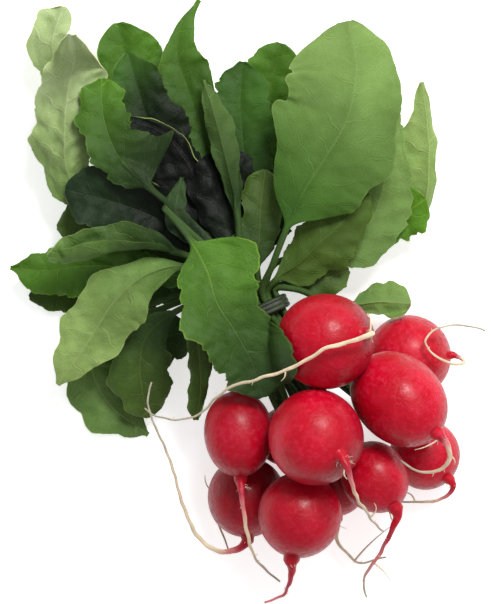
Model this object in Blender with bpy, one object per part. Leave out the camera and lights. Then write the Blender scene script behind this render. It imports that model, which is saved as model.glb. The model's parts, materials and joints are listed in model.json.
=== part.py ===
"""A tied bunch of eleven round red radishes with their leaves, lying on its side.

Metres, +Z up, resting on the plane z = 0, with the middle of its box over the origin.
The bulbs lie towards -Y and the leaves fan out past the tie towards -X, +Y and +X.
The tables are in millimetres in the bunch's own layout, which the last step centres.
"""

import bpy
import bmesh
import numpy as np

MM = 0.001

# Driving dimensions, in millimetres.
BLADE_THICKNESS = 0.74
EDGE_THICKNESS = 0.64
STALK_RADIUS = 1.2
CROWN_GAP = 0.9
FLAT_DEPTH = 0.4            # how deep a resting bulb's flat is pressed
CLEARANCE = 0.9             # least upright gap between a leaf and what it lies on
BULB_SIDES = 12
ROOT_TAPER = 0.38           # roots thin quickly at first, then slowly
TIE_WIDTH = 5.0
TIE_THICKNESS = 1.1
BLADE_STEPS = (0.0, 0.08, 0.2, 0.33, 0.46, 0.59, 0.72, 0.84, 0.94, 1.0)
FINE = 4                    # smooth rings worked out for each ring that is kept
SIDE_STEPS = 12             # smooth steps from the midrib to either margin

# The tie: its middle, the way the stalks run through it, its side, and the rows of stalks.
TIE_CENTRE = np.array([4.0, -4.0, 20.5])
TIE_RUN = np.array([-0.42, 0.9075, 0.0])
TIE_SIDE = np.array([0.9075, 0.42, 0.0])
UP = np.array([0.0, 0.0, 1.0])
STALK_PITCH = 3.1
ROW_PITCH = 2.75
ROW_COUNTS = (6, 7, 6, 7, 6)

# Bulbs: centre, axis from crown to root, half length, radius, root's points, root's end radii.
BULBS = {
    1: ((27.5, -13.4, 49.0), (0.74, 0.16, 0.65), 17.0, 16.3,
        [(42.8, -10.4, 64.6), (40.2, -11.6, 68.2), (34.5, -13.2, 69.6), (27.5, -15.2, 69),
         (20, -19.6, 66.5), (12, -23.6, 63), (3, -26.4, 59), (-5.5, -29.4, 54),
         (-11.3, -34.3, 47), (-15.5, -38.7, 42),
         (-22.7, -41, 38), (-31, -40, 34), (-38, -35.4, 30)], (1.7, 0.45)),
    2: ((58.7, -19.6, 15.0), (0.94, 0.04, 0.32), 15.0, 15.0,
        [(77.5, -20.6, 22), (76.5, -22.0, 26.5), (71, -21.2, 30), (65.6, -18, 33), (62.9, -14, 33.5),
         (65.5, -10.6, 32.5), (71.3, -8.5, 30), (79, -8.6, 28), (86.5, -10.9, 26)], (1.1, 0.42)),
    3: ((53.1, -33.6, 42.5), (0.66, -0.60, 0.45), 18.5, 15.0,
        [(68.2, -47.6, 52.6), (70, -53, 51.5), (68.5, -56.8, 49), (63, -58.8, 46),
         (57.5, -57.6, 44), (53.3, -53.6, 43.5)], (2.1, 0.5)),
    4: ((24.1, -46.4, 50.2), (0.48, -0.33, 0.81), 16.5, 16.3,
        [(34.2, -55.5, 67), (36, -61.5, 64.5), (38, -67, 59.5), (41, -71.5, 54), (44.6, -76, 48.5),
         (48.4, -80, 43.5)], (2.0, 0.45)),
    5: ((-2.5, -46.2, 32.4), (0.05, -0.99, 0.12), 15.0, 12.2,
        [(-1.4, -66, 36.5), (-0.7, -73.5, 37), (0.4, -80, 35.5), (2.6, -87.5, 32.5), (7, -94.8, 29),
         (13.4, -99.6, 26.5)], (2.0, 0.5)),
    6: ((64.6, -54.9, 12.2), (0.61, -0.63, 0.48), 12.6, 12.6,
        [(74.2, -65.4, 19), (72.8, -68.8, 17.5), (69.6, -70.8, 15.5), (64.4, -72, 13.5),
         (55.5, -72, 11)], (1.7, 0.5)),
    7: ((45.3, -61.4, 33.0), (0.50, -0.76, 0.42), 12.9, 11.6,
        [(52.9, -74.2, 38.8), (51.2, -79.2, 37.6), (48.4, -85.4, 34), (45.4, -91.6, 29.5),
         (42.3, -98, 24), (43.4, -106.5, 19.5)], (2.4, 0.5)),
    8: ((18.9, -74.4, 36.7), (-0.18, -0.94, 0.20), 14.7, 14.6,
        [(16.2, -92.5, 39), (15.6, -97.5, 36), (13.2, -102.6, 31.5), (6.2, -106.6, 26.5)], (2.5, 0.5)),
    9: ((0.4, -70.2, 13.8), (0.02, -0.95, 0.26), 14.2, 14.2,
        [(-1.4, -87.8, 17.5), (-7.5, -89.6, 17), (-14.5, -86.4, 18), (-20.3, -77.5, 21),
         (-24, -66, 25), (-27.6, -53, 27), (-32.5, -43, 28), (-34.5, -35, 28), (-32.4, -25.6, 28)],
        (2.0, 0.45)),
    10: ((32.0, -65.0, 11.8), (0.10, -0.99, -0.05), 12.2, 12.0,
         [(33.2, -81, 10.5), (33, -85.6, 9.5), (36, -90, 8.5), (40.5, -94.4, 7.5), (46, -94, 6.5),
          (52, -92.7, 5)], (1.5, 0.45)),
    11: ((14.5, -48.5, 10.2), (-0.76, -0.60, -0.24), 10.6, 10.5,
         [(2.4, -56.6, 5.4), (-4.5, -59.5, 3.2), (-10, -66, 2.2), (-11.4, -74, 2), (-9.8, -81.5, 2),
          (-7.8, -87, 1.8), (-4.8, -93.6, 1.5)], (1.3, 0.45)),
}
RESTING = (2, 6, 9, 10, 11)

# Which bulb each stalk in the tie grows from, row by row from the lowest, left to right.
STALK_BULBS = (
    (9, 9, 11, 10, 6, 2),
    (9, 11, 11, 10, 10, 6, 2),
    (5, 8, 8, 7, 7, 2),
    (5, 8, 4, 7, 1, 3, 3),
    (5, 4, 4, 1, 1),
)

# Leaves in the order in which they lie on each other: row and place in the tie, the midrib's
# points past the tie, which of them the blade starts at, half widths to the left and right at
# even steps, slant of each half at the midrib and at the margin (left, left, right, right,
# degrees, + is up), height of the margin's wave, depth of its teeth. "low" leaves touch the
# ground, "stiff" ones keep their section, "wide" ones have more faces across.
LEAVES = [
    dict(at=(0, 0), rib=[(-11, -3, 12.5), (-19, -9.5, 11), (-31, -13, 9), (-47, -14, 7)], start=1,
         left=(3, 8, 11, 11, 6), right=(3, 8, 11, 10, 6), bend=(8, -8, 8, -8), low=True),
    dict(at=(0, 1), rib=[(-12.5, 2, 13), (-32, -3, 9), (-51, -11, 7), (-56, -24, 6), (-50, -37, 5),
                         (-35.5, -48.5, 4)], start=2, point=True,
         left=(2, 6, 10, 10, 8, 6, 1), right=(2, 7, 9, 12, 11, 7, 1.5), bend=(6, -14, 8, -8), low=True),
    dict(at=(0, 2), rib=[(-14, 8, 13), (-36, 6, 8), (-58, 3.5, 6), (-79, 1.5, 5)], start=0,
         left=(2, 7, 8, 7, 6, 2), right=(2, 6, 8, 9, 8, 2), bend=(5, 10, 10, -10), low=True),
    dict(at=(0, 3), rib=[(-6, 14, 13), (-20, 38, 8), (-33, 63, 8), (-42, 84, 10), (-46.5, 101.5, 12)],
         start=0,
         left=(2, 6, 10, 13, 13, 7), right=(2, 6, 10, 14, 15, 9), bend=(12, 5, 12, 0), low=True),
    dict(at=(0, 4), rib=[(4, 14, 12), (6, 34, 8), (7, 56, 8), (9, 76, 10), (13, 94, 13)], start=0,
         left=(2, 11, 14, 14, 13, 8), right=(2, 11, 14, 15, 14, 10), bend=(12, 5, 12, 0), low=True),
    dict(at=(0, 5), rib=[(15, 6.5, 14), (33, 13, 10), (51, 22, 10), (63.5, 34, 13), (65.5, 52, 18),
                         (63, 78.5, 20)], start=2, point=True,
         left=(2, 10, 13, 13, 11, 5, 2.5), right=(2, 4, 4, 4, 4, 3, 2), bend=(5, -15, -15, -70)),
    dict(at=(1, 0), rib=[(-13, 0, 18), (-26, -4, 17), (-36, -13, 15), (-38, -24, 13), (-37, -33, 11),
                         (-35.5, -42, 8)], start=1,
         left=(2, 6, 10, 12, 10, 4), right=(2, 5, 8, 11, 9, 4), bend=(6, -12, 8, -14)),
    dict(at=(1, 1), rib=[(-13, 7, 18), (-34, 19, 15), (-52, 27, 13), (-68, 27, 12)], start=0,
         left=(2, 6, 9, 10, 9, 3), right=(2, 7, 10, 12, 10, 4), bend=(5, 0, 10, 0), teeth=0.12),
    dict(at=(1, 2), rib=[(-11, 13, 17), (-31, 38, 13), (-50, 60, 12), (-63, 78, 14), (-69, 91, 18),
                         (-65, 105.5, 20)], start=2,
         left=(2, 7, 9, 8, 9, 5), right=(2, 6, 8, 8, 5, 5), bend=(5, -20, 8, -20)),
    dict(at=(1, 3), rib=[(-3, 15, 17), (-8, 38, 14), (-14, 58, 14), (-20, 75, 15), (-24.5, 91, 16),
                         (-23, 99, 16), (-16.5, 108.5, 14)], start=0, point=True,
         left=(2, 5, 8, 10, 11, 9, 2, 1), right=(2, 5, 8, 9, 8, 10, 5, 1), bend=(15, 5, 15, 0)),
    dict(at=(1, 4), rib=[(2, 15, 18), (1, 38, 16.5), (-1, 57, 17), (-2, 71, 18), (-1, 86, 18)], start=0,
         left=(2, 5, 9, 10, 10, 5), right=(2, 5, 9, 11, 11, 6), bend=(14, 0, 14, 5), teeth=0.12),
    dict(at=(1, 6), rib=[(16.5, 6, 18), (31, 14, 15), (46, 24.5, 14), (64.5, 37, 14)], start=2,
         left=(3, 8, 9, 9, 6), right=(3, 8, 9, 8, 5), bend=(10, 0, 10, -8), teeth=0.1),
    dict(at=(1, 5), rib=[(9.5, 12.5, 19), (26, 17.5, 18.5), (42, 25, 18), (49, 40, 19), (50, 58, 21),
                         (48.5, 79, 23)], start=1,
         left=(3, 9, 12, 13, 10, 4), right=(3, 11, 12, 8, 6, 5), bend=(10, 0, 12, -12)),
    dict(at=(2, 0), rib=[(-14, 5, 21), (-38, 12, 16), (-59, 13, 13), (-72, 11.5, 11), (-85, 12.5, 9)],
         start=0, point=True,
         left=(2, 4, 6, 8, 9, 9, 2), right=(2, 4, 6, 8, 9, 7, 1), bend=(8, -8, 10, -12), teeth=0.12),
    dict(at=(2, 1), rib=[(-10, 12, 20), (-21, 35, 18), (-31, 55, 18), (-37, 72, 20), (-42, 89, 20)],
         start=0,
         left=(2, 6, 10, 12, 11, 4), right=(2, 6, 10, 12, 10, 4), bend=(14, 0, 14, 6), teeth=0.1),
    dict(at=(2, 2), rib=[(-6, 15, 21), (-12, 31, 20), (-19, 47, 20), (-29, 60, 20), (-44, 66, 19)],
         start=0, point=True,
         left=(2, 7, 13, 16, 13, 3), right=(2, 3, 4, 5, 4, 1.5), bend=(-5, -15, 25, 50)),
    dict(at=(2, 3), rib=[(0, 13, 21), (-3, 26, 20), (-6, 40, 19), (-8, 55, 18)], start=0,
         left=(1.5, 8, 13, 13, 5), right=(1.5, 8, 12, 12, 5), bend=(12, 0, 12, 0)),
    dict(at=(2, 4), rib=[(4, 12, 23), (5, 24, 24), (5.5, 34, 24), (7, 47, 23)], start=0,
         left=(3, 12, 7, 6, 7, 3), right=(1.5, 5, 6, 8, 7, 2), bend=(5, -5, 5, -10)),
    dict(at=(2, 5), rib=[(14.5, 6.8, 21), (22, 7.5, 20), (30, 9, 20), (37, 11.5, 18)], start=0,
         left=(2, 4, 5, 5, 3), right=(2, 4, 6, 6, 3), bend=(8, 0, 8, 0)),
    dict(at=(3, 0), rib=[(-10, 0, 25), (-17, -8, 28), (-16.4, -20, 27), (-16, -31, 25), (-17.6, -42, 22)],
         start=1, left=(1.5, 4, 4.5, 3, 2, 1.5), right=(1.5, 3.5, 4, 4, 4, 3), bend=(5, -10, 5, -20)),
    dict(at=(3, 1), rib=[(-13, 11, 24), (-34, 25, 21), (-54, 33, 20), (-63, 45, 22), (-64, 62, 26),
                         (-62, 78, 28), (-59, 90.5, 27)], start=2,
         left=(2, 9, 13, 12, 11, 11), right=(2, 8, 10, 11, 12, 13), bend=(-8, -40, -8, -36),
         stiff=True, wide=True, wave=1.4),
    dict(at=(3, 2), rib=[(-9, 13, 25), (-22, 24, 25), (-34, 31, 25), (-48, 36, 24), (-64, 40, 21)],
         start=0,
         left=(2, 5, 10, 12, 11, 5), right=(2, 4, 9, 13, 13, 7), bend=(5, 10, 15, 25)),
    dict(at=(3, 3), rib=[(-7, 15, 25), (-19, 28, 26), (-34, 40.5, 28), (-45, 52, 29.5), (-50, 65, 28.5),
                         (-51, 79, 26)], start=2,
         left=(2, 6, 9, 9, 9, 8, 4), right=(5, 18, 14, 9, 9, 8, 4), bend=(10, 5, 12, 8), teeth=0.1),
    dict(at=(3, 4), rib=[(-1, 14, 25), (-3, 32, 25), (-7, 50, 25), (-11, 66, 24), (-15, 79, 22)],
         start=1, point=True,
         left=(1.5, 3.5, 4.5, 5, 4, 1), right=(1.5, 4, 6, 6.5, 4.5, 1), bend=(-15, -55, -15, -40)),
    dict(at=(3, 5), rib=[(11, 8, 26), (18, 13, 27), (27, 21.5, 29), (36, 30, 29), (44, 38, 27)],
         start=0, point=True,
         left=(2, 6, 9, 10, 8, 2), right=(2, 9, 12, 12, 9, 2), bend=(-8, -20, -8, -30)),
    dict(at=(3, 6), rib=[(17.5, 4.6, 24.5), (27.5, 0.8, 23.5), (38, -1, 22.5), (48, 0, 21), (59, -0.5, 20)],
         start=2,
         left=(1.6, 5, 7, 7.5, 5), right=(1.6, 4, 5, 6, 4), bend=(-5, -30, -5, -30)),
    dict(at=(4, 0), rib=[(-9, 6, 28), (-22, 12.5, 30), (-34, 10, 31), (-45, 1.5, 30), (-55, -13, 27),
                         (-67, -29.5, 21)], start=1, point=True,
         left=(1.6, 7, 12, 11, 8, 2), right=(1.6, 6, 12, 13, 10, 3), bend=(-6, -26, -6, -30),
         wide=True),
    dict(at=(4, 1), rib=[(-8, 9, 28), (-24, 17.5, 31), (-38, 20, 33), (-52, 18.5, 32), (-67, 15, 30)],
         start=1,
         left=(1.6, 6, 9, 13, 15, 12), right=(1.6, 5, 8, 9, 8, 6), bend=(30, 178, 10, 20), stiff=True,
         wide=True),
    dict(at=(4, 3), rib=[(-4, 13, 28), (-14, 21, 30), (-24, 30, 31), (-22.5, 44, 29)],
         start=1, point=True,
         left=(1.5, 4, 4.5, 3, 1), right=(1.5, 3, 4, 3, 1), bend=(8, -5, 10, 10)),
    dict(at=(4, 4), rib=[(9.5, 13, 33), (14.5, 26, 37), (19.5, 37, 39), (27, 49, 41), (35, 63, 42),
                         (38.5, 80, 40), (36, 98.5, 34)], start=1,
         left=(2.5, 12, 22, 26, 25, 25, 22), right=(2.5, 17, 21, 21, 18, 14, 10), bend=(-5, -28, -6, -34),
         wide=True),
    dict(at=(4, 2), rib=[(-8, 13.5, 29), (-19, 24, 30), (-26.5, 31, 33), (-28, 32.5, 38), (-24, 28, 41),
                         (-18, 20, 43), (-13, 10.5, 45), (-10, 0.5, 47), (-3.5, -10, 48), (2, -20, 47),
                         (6, -33, 45)], start=5,
         left=(4, 10, 13, 14, 13, 11, 7), right=(13, 17, 14.5, 12.5, 12.5, 14, 9), bend=(8, -10, 6, -18),
         teeth=0.1, wide=True, step=3.8),
]


def unit(v):
    v = np.asarray(v, float)
    return v / np.linalg.norm(v, axis=-1, keepdims=True)


def spline(points, count=None, at=None):
    """Smooth curve through the points, even along its length, or at distances along it."""
    p = np.asarray(points, float)
    d = np.linalg.norm(np.diff(p, axis=0), axis=1)
    knots = np.concatenate([[0.0], np.cumsum(d)])
    slope = np.diff(p, axis=0) / d[:, None]
    m = np.empty_like(p)
    m[0], m[-1] = slope[0], slope[-1]
    m[1:-1] = (slope[:-1] * d[1:, None] + slope[1:] * d[:-1, None]) / (d[1:] + d[:-1])[:, None]
    s = np.linspace(0.0, knots[-1], 900)
    i = np.clip(np.searchsorted(knots, s, side="right") - 1, 0, len(d) - 1)
    u = ((s - knots[i]) / d[i])[:, None]
    h = d[i][:, None]
    curve = ((2 * u**3 - 3 * u**2 + 1) * p[i] + (u**3 - 2 * u**2 + u) * h * m[i]
             + (3 * u**2 - 2 * u**3) * p[i + 1] + (u**3 - u**2) * h * m[i + 1])
    run = np.concatenate([[0.0], np.cumsum(np.linalg.norm(np.diff(curve, axis=0), axis=1))])
    if at is None:
        at = np.linspace(0.0, run[-1], count)
    out = np.stack([np.interp(at, run, curve[:, k]) for k in range(3)], axis=1)
    marks = np.array([run[np.argmin(np.abs(s - k))] for k in knots])
    return out, marks, run[-1]


def steady(values, at):
    """Smooth line through evenly spaced values, never below a small width."""
    v = np.asarray(values, float)
    x = np.clip(at, 0.0, 1.0) * (len(v) - 1)
    i = np.minimum(x.astype(int), len(v) - 2)
    u = x - i
    pad = np.concatenate([[2 * v[0] - v[1]], v, [2 * v[-1] - v[-2]]])
    a, b, c, d = pad[i], pad[i + 1], pad[i + 2], pad[i + 3]
    w = b + 0.5 * u * (c - a + u * (2 * a - 5 * b + 4 * c - d + u * (3 * (b - c) + d - a)))
    return np.maximum(w, 0.5)


def ease(x):
    x = np.clip(x, 0.0, 1.0)
    return x * x * (3.0 - 2.0 * x)


# Height of everything laid so far, on a one-millimetre grid.
X0, Y0, NX, NY = -105, -125, 212, 245
ground = np.zeros((NX, NY))


def heap(points):
    """Raises the ground to the given points."""
    p = np.asarray(points).reshape(-1, 3)
    i = np.clip(np.rint(p[:, 0] - X0).astype(int), 0, NX - 1)
    j = np.clip(np.rint(p[:, 1] - Y0).astype(int), 0, NY - 1)
    np.maximum.at(ground, (i, j), p[:, 2])


def spread(field, reach, softness):
    """The field with every height carried sideways, then softened."""
    out = field
    for axis in (0, 1):
        out = np.max([np.roll(out, k, axis) for k in range(-reach, reach + 1)], axis=0)
    for _ in range(softness):
        for axis in (0, 1):
            out = 0.25 * np.roll(out, 1, axis) + 0.5 * out + 0.25 * np.roll(out, -1, axis)
    return out


def height(field, x, y):
    """The field between its grid points."""
    gx = np.clip(x - X0, 0, NX - 1.001)
    gy = np.clip(y - Y0, 0, NY - 1.001)
    i, j = gx.astype(int), gy.astype(int)
    u, v = gx - i, gy - j
    return ((1 - u) * (1 - v) * field[i, j] + u * (1 - v) * field[i + 1, j]
            + (1 - u) * v * field[i, j + 1] + u * v * field[i + 1, j + 1])


def densify(rings, along, around):
    """Points between the rings' corners, for laying things on them."""
    a = np.asarray(rings)
    n, m = a.shape[:2]
    for axis, k, size in ((0, along, n), (1, around, m)):
        x = np.linspace(0, size - 1, (size - 1) * k + 1)
        i = np.minimum(x.astype(int), size - 2)
        u = (x - i).reshape([-1 if q == axis else 1 for q in range(3)])
        a = np.take(a, i, axis) * (1 - u) + np.take(a, i + 1, axis) * u
    return a


def tube(path, radii, sides):
    """Rings round a path, each square to it and not twisted."""
    path = np.asarray(path, float)
    run = unit(np.gradient(path, axis=0))
    side = np.cross(UP, run[0])
    side = unit(side) if np.linalg.norm(side) > 0.05 else np.array([1.0, 0, 0])
    a = np.arange(sides) * 2 * np.pi / sides
    rings = []
    for p, t, r in zip(path, run, radii):
        side = unit(side - t * np.dot(side, t))
        over = np.cross(t, side)
        rings.append(p + r * (np.cos(a)[:, None] * side + np.sin(a)[:, None] * over))
    return np.array(rings)


def bulb_rings(number, lift=0.0, lay=False):
    """A bulb from its crown to the end of its root."""
    centre, axis, half, radius, root, ends = BULBS[number]
    centre = np.array(centre) + UP * lift
    axis = unit(axis)
    turn = np.radians((16, 36, 56, 75, 93, 111, 128, 144, 158, 168))
    swell = np.sin(turn) ** 0.94
    body = centre - axis * half * np.cos(turn)[:, None]
    radii = list(radius * swell)
    start = centre + axis * (half + 1.6)
    line, _, length = spline([start] + [np.array(p, float) for p in root], 60)
    if lay:
        soft = spread(ground, 2, 2)
        need = height(soft, line[:, 0], line[:, 1]) + 1.3 + CLEARANCE
        far = ease((np.arange(60) - 14) / 12.0)
        gap = need - line[:, 2]
        line[:, 2] += far * 0.5 * (gap + np.sqrt(gap**2 + 0.6))
    steps = max(5, int(round(length / 8.5)))
    line, _, length = spline(line[::3], steps + 1)
    taper = ends[0] + (ends[1] - ends[0]) * np.linspace(0, 1, steps + 1) ** ROOT_TAPER
    taper[0] = 0.3 * radii[-1] + 0.7 * ends[0]
    return tube(np.vstack([body, line]), radii + list(taper), BULB_SIDES)


def slot(row, place):
    """A stalk's place in the tie."""
    across = (place - (ROW_COUNTS[row] - 1) / 2) * STALK_PITCH
    up = (row - (len(ROW_COUNTS) - 1) / 2) * ROW_PITCH
    return TIE_CENTRE + TIE_SIDE * across + UP * up


def hermite(p0, m0, p1, m1, count):
    u = np.linspace(0, 1, count)[:, None]
    return ((2 * u**3 - 3 * u**2 + 1) * p0 + (u**3 - 2 * u**2 + u) * m0
            + (3 * u**2 - 2 * u**3) * p1 + (u**3 - u**2) * m1)


def stalk_chains():
    """Stalks from their bulbs' crowns to the tie, pushed apart until they are clear."""
    owners, mouths = [], []
    for leaf in LEAVES:
        row, place = leaf["at"]
        owners.append(STALK_BULBS[row][place])
        mouths.append(slot(row, place) - TIE_RUN * 5.0)
    owners, mouths = np.array(owners), np.array(mouths)
    count = 22
    chains = []
    for k, (owner, mouth) in enumerate(zip(owners, mouths)):
        centre, axis, half, radius = [np.array(v, float) for v in BULBS[owner][:4]]
        axis = unit(axis)
        mine = np.where(owners == owner)[0]
        across = unit(np.cross(axis, UP))
        rise = np.cross(axis, across)
        spokes = mouths[mine] - mouths[mine].mean(axis=0)
        angles = np.arctan2(spokes @ rise, spokes @ across)
        order = list(np.argsort(angles)).index(list(mine).index(k))
        angle = angles.min() + order * 2 * np.pi / len(mine)
        away = 0.0 if len(mine) == 1 else 3.75 / (2 * np.sin(np.pi / len(mine)))
        off = away * (np.cos(angle) * across + np.sin(angle) * rise)
        foot = centre - axis * (half + CROWN_GAP + STALK_RADIUS * 0.5) + off
        reach = np.linalg.norm(mouth - foot)
        chains.append(hermite(foot, -axis * reach * 0.7, mouth, TIE_RUN * reach * 0.7, count))
    chains = np.array(chains)
    pinned = np.zeros(count, bool)
    pinned[[0, 1, -1]] = True
    least = 2 * STALK_RADIUS + 1.15
    near_bulb = [(np.array(c, float), np.array(r, float) + STALK_RADIUS + 0.9, n)
                 for n, (c, _, _, r, _, _) in BULBS.items()]
    for _ in range(130):
        flat = chains.reshape(-1, 3)
        who = np.repeat(np.arange(len(chains)), count)
        gap = flat[:, None] - flat[None]
        far = np.linalg.norm(gap, axis=2) + 1e-6
        press = np.where((far < least) & (who[:, None] != who[None]), least - far, 0.0)
        push = (gap / far[..., None] * press[..., None]).sum(axis=1) * 0.35
        push = push.reshape(chains.shape)
        for centre, keep, number in near_bulb:
            out = chains - centre
            d = np.linalg.norm(out, axis=2, keepdims=True)
            other = (owners != number)[:, None, None]
            push += np.where((d < keep) & other, out / d * (keep - d), 0.0) * 0.7
        size = np.linalg.norm(push, axis=2, keepdims=True)
        push = push / np.maximum(size, 1e-6) * np.minimum(size, 1.0)
        push[:, pinned] = 0
        chains = chains + push
        smooth = chains.copy()
        smooth[:, 1:-1] = 0.25 * chains[:, :-2] + 0.5 * chains[:, 1:-1] + 0.25 * chains[:, 2:]
        chains = np.where(pinned[None, :, None], chains, chains + 0.35 * (smooth - chains))
    return chains


def leaf_sheet(leaf, chain, number):
    """Middle surface of a stalk and its blade, its half thickness, and its ring's kind."""
    row, place = leaf["at"]
    middle = slot(row, place)
    mouth = chain[-1]
    points = [*chain[:-1:2], mouth, middle, middle + TIE_RUN * 5.0]
    tie_end = len(points) - 1
    points += [np.array(p, float) for p in leaf["rib"]]
    _, marks, length = spline(points, 3)
    blade_at = marks[tie_end + 1 + leaf["start"]]
    in_at, out_at = marks[tie_end - 2], marks[tie_end]
    near = max(3, int(round(in_at / 9.5)))
    mid = max(2, int(round((blade_at - out_at) / leaf.get("step", 9.5))))
    keep = np.concatenate([
        np.linspace(0, in_at, near + 1)[:-1], [in_at],
        np.linspace(out_at, blade_at, mid + 1)[:-1],
        blade_at + (length - blade_at) * np.array(BLADE_STEPS)])
    index = np.linspace(0, len(keep) - 1, (len(keep) - 1) * FINE + 1)
    s = np.interp(index, np.arange(len(keep)), keep)
    p, _, _ = spline(points, at=s)
    run = unit(np.gradient(p, s, axis=0))
    side = np.cross(UP, run)
    for i in range(1, len(side)):
        if np.dot(side[i], side[i - 1]) < 0:
            side[i] = -side[i]
        if np.linalg.norm(side[i]) < 0.25:
            side[i] = side[i - 1] - run[i] * np.dot(side[i - 1], run[i])
        side[i] = side[i] / np.linalg.norm(side[i])
    side[0] = side[0] / np.linalg.norm(side[0])
    over = unit(np.cross(run, side))
    f = (s - blade_at) / (length - blade_at)
    on = ease(f / 0.12 + 0.15)
    step = np.interp(f, BLADE_STEPS, np.arange(len(BLADE_STEPS)))
    t = np.linspace(-1, 1, 2 * SIDE_STEPS + 1)
    teeth = leaf.get("teeth", 0.07)
    wave = leaf.get("wave", 0.9)
    sheet = np.repeat(p[:, None], len(t), axis=1)
    for sign, widths, slant, phase in ((1, leaf["left"], leaf["bend"][:2], 0.3 * number),
                                       (-1, leaf["right"], leaf["bend"][2:], 0.7 * number + 1.9)):
        if not leaf.get("point"):
            widths = (*widths[:-1], max(widths[-1], 0.62 * widths[-2]))
        tip = np.sqrt(1 - 0.97 * np.clip((f - 0.84) / 0.16, 0, 1) ** 2)
        cuts = 1 + teeth * np.cos(np.pi * step + (phase > 2)) * ease(f / 0.2)
        half = np.maximum(steady(widths, f) * tip, 0.8) * cuts
        half = np.where(f < 0, STALK_RADIUS * 0.95, STALK_RADIUS * 0.95 * (1 - on) + half * on)
        a0, a1 = np.radians(slant)
        turn = (a1 - a0 + 1e-4) * on
        a0 = a0 * on
        cols = np.where(t * sign > 0)[0]
        w = np.abs(t[cols])[None]
        k, b, h = turn[:, None], a0[:, None], half[:, None]
        k = np.where(np.abs(k) < 1e-5, 1e-5, k)
        out = h * (np.sin(b + k * w) - np.sin(b)) / k
        up = h * (np.cos(b) - np.cos(b + k * w)) / k
        up = up + wave * w**2 * (np.sin(step * 1.9 + phase) * ease(f / 0.3))[:, None]
        sheet[:, cols] += sign * out[..., None] * side[:, None] + up[..., None] * over[:, None]
    w = np.abs(t)[None]
    round_half = STALK_RADIUS * np.sqrt(1 - (0.95 * w) ** 2)
    rib = np.interp(f, [0, 1], [0.95, 0.42])[:, None]
    flat_half = EDGE_THICKNESS / 2 + (BLADE_THICKNESS - EDGE_THICKNESS) / 2 * (1 - w)
    flat_half = flat_half + (rib - flat_half) * np.clip(1 - w / 0.17, 0, 1)
    thick = round_half * (1 - on[:, None]) + flat_half * on[:, None]
    lay_leaf(sheet, thick, s, f, out_at, leaf)
    return sheet, thick, run


def lay_leaf(sheet, thick, s, f, out_at, leaf):
    """Raises a leaf, past the tie, over everything laid before it."""
    past = ease((s - out_at) / 14.0)
    soft = spread(ground, 2, 2)
    x, y, z = sheet[..., 0], sheet[..., 1], sheet[..., 2]
    need = height(soft, x, y) + thick * 1.15 + CLEARANCE - z
    raised = 0.5 * (need + np.sqrt(need**2 + 0.8))
    near = np.abs(np.linspace(-1, 1, sheet.shape[1])) < 0.72
    stalk = (height(ground, x, y) + STALK_RADIUS + CLEARANCE - z)[:, near].max(axis=1)
    stalk = np.max([np.roll(stalk, k) for k in range(-2, 3)], axis=0)
    stalk = 0.5 * (stalk + np.sqrt(stalk**2 + 0.6))
    if leaf.get("stiff"):
        whole = raised.max(axis=1)
        whole = np.max([np.roll(whole, k) for k in range(-2, 3)], axis=0)
        for _ in range(6):
            whole[1:-1] = 0.25 * whole[:-2] + 0.5 * whole[1:-1] + 0.25 * whole[2:]
        raised = np.repeat(whole[:, None], sheet.shape[1], axis=1)
    on = ease(f / 0.12 + 0.5)[:, None]
    lift = (stalk[:, None] * (1 - on) + raised * on) * past[:, None]
    sheet[..., 2] += lift
    if leaf.get("low"):
        far = (ease((f + 0.6) / 0.9) * past)[:, None]
        low = (sheet[..., 2] - thick)[::FINE, ::6][f[::FINE] > 0.15].min()
        sheet[..., 2] -= far * low


def leaf_rings(leaf, chain, number):
    """The closed loops of a leaf: its upper face, then its under face."""
    sheet, thick, run = leaf_sheet(leaf, chain, number)
    normal = unit(np.cross(np.gradient(sheet, axis=1), np.gradient(sheet, axis=0)))
    flip = np.sign((normal[:, SIDE_STEPS] * np.cross(run, np.cross(UP, run))).sum(axis=1))
    cols = np.arange(0, 2 * SIDE_STEPS + 1, 4 if leaf.get("wide") else 6)
    normal = normal * flip[len(flip) // 2]
    top = (sheet + normal * thick[..., None])[::FINE, cols]
    low = (sheet - normal * thick[..., None])[::FINE, cols]
    return np.concatenate([top, low[:, ::-1]], axis=1), top, low


def rings_object(name, rings, colour, rough, cut=False):
    """A closed solid through loops of points, in metres."""
    n, m = rings.shape[:2]
    mesh = bpy.data.meshes.new(name)
    faces = [(i * m + j, i * m + (j + 1) % m, (i + 1) * m + (j + 1) % m, (i + 1) * m + j)
             for i in range(n - 1) for j in range(m)]
    faces += [tuple(range(m))[::-1], tuple((n - 1) * m + j for j in range(m))]
    mesh.from_pydata((rings.reshape(-1, 3) * MM).tolist(), [], faces)
    return finish(name, mesh, colour, rough, cut)


def finish(name, mesh, colour, rough, cut=False):
    bm = bmesh.new()
    bm.from_mesh(mesh)
    if cut:
        geom = bm.verts[:] + bm.edges[:] + bm.faces[:]
        bmesh.ops.bisect_plane(bm, geom=geom, dist=1e-7, plane_co=(0, 0, 0), plane_no=(0, 0, 1),
                               clear_inner=True)
        edges = [e for e in bm.edges if e.is_boundary]
        bmesh.ops.contextual_create(bm, geom=edges)
    bmesh.ops.triangulate(bm, faces=[q for q in bm.faces if len(q.verts) == 4])
    bmesh.ops.recalc_face_normals(bm, faces=bm.faces)
    bm.to_mesh(mesh)
    bm.free()
    obj = bpy.data.objects.new(name, mesh)
    bpy.context.scene.collection.objects.link(obj)
    material = bpy.data.materials.new(name + "_skin")
    material.use_nodes = True
    shader = material.node_tree.nodes["Principled BSDF"]
    shader.inputs["Base Color"].default_value = (*colour, 1)
    shader.inputs["Roughness"].default_value = rough
    mesh.materials.append(material)
    return obj


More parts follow.
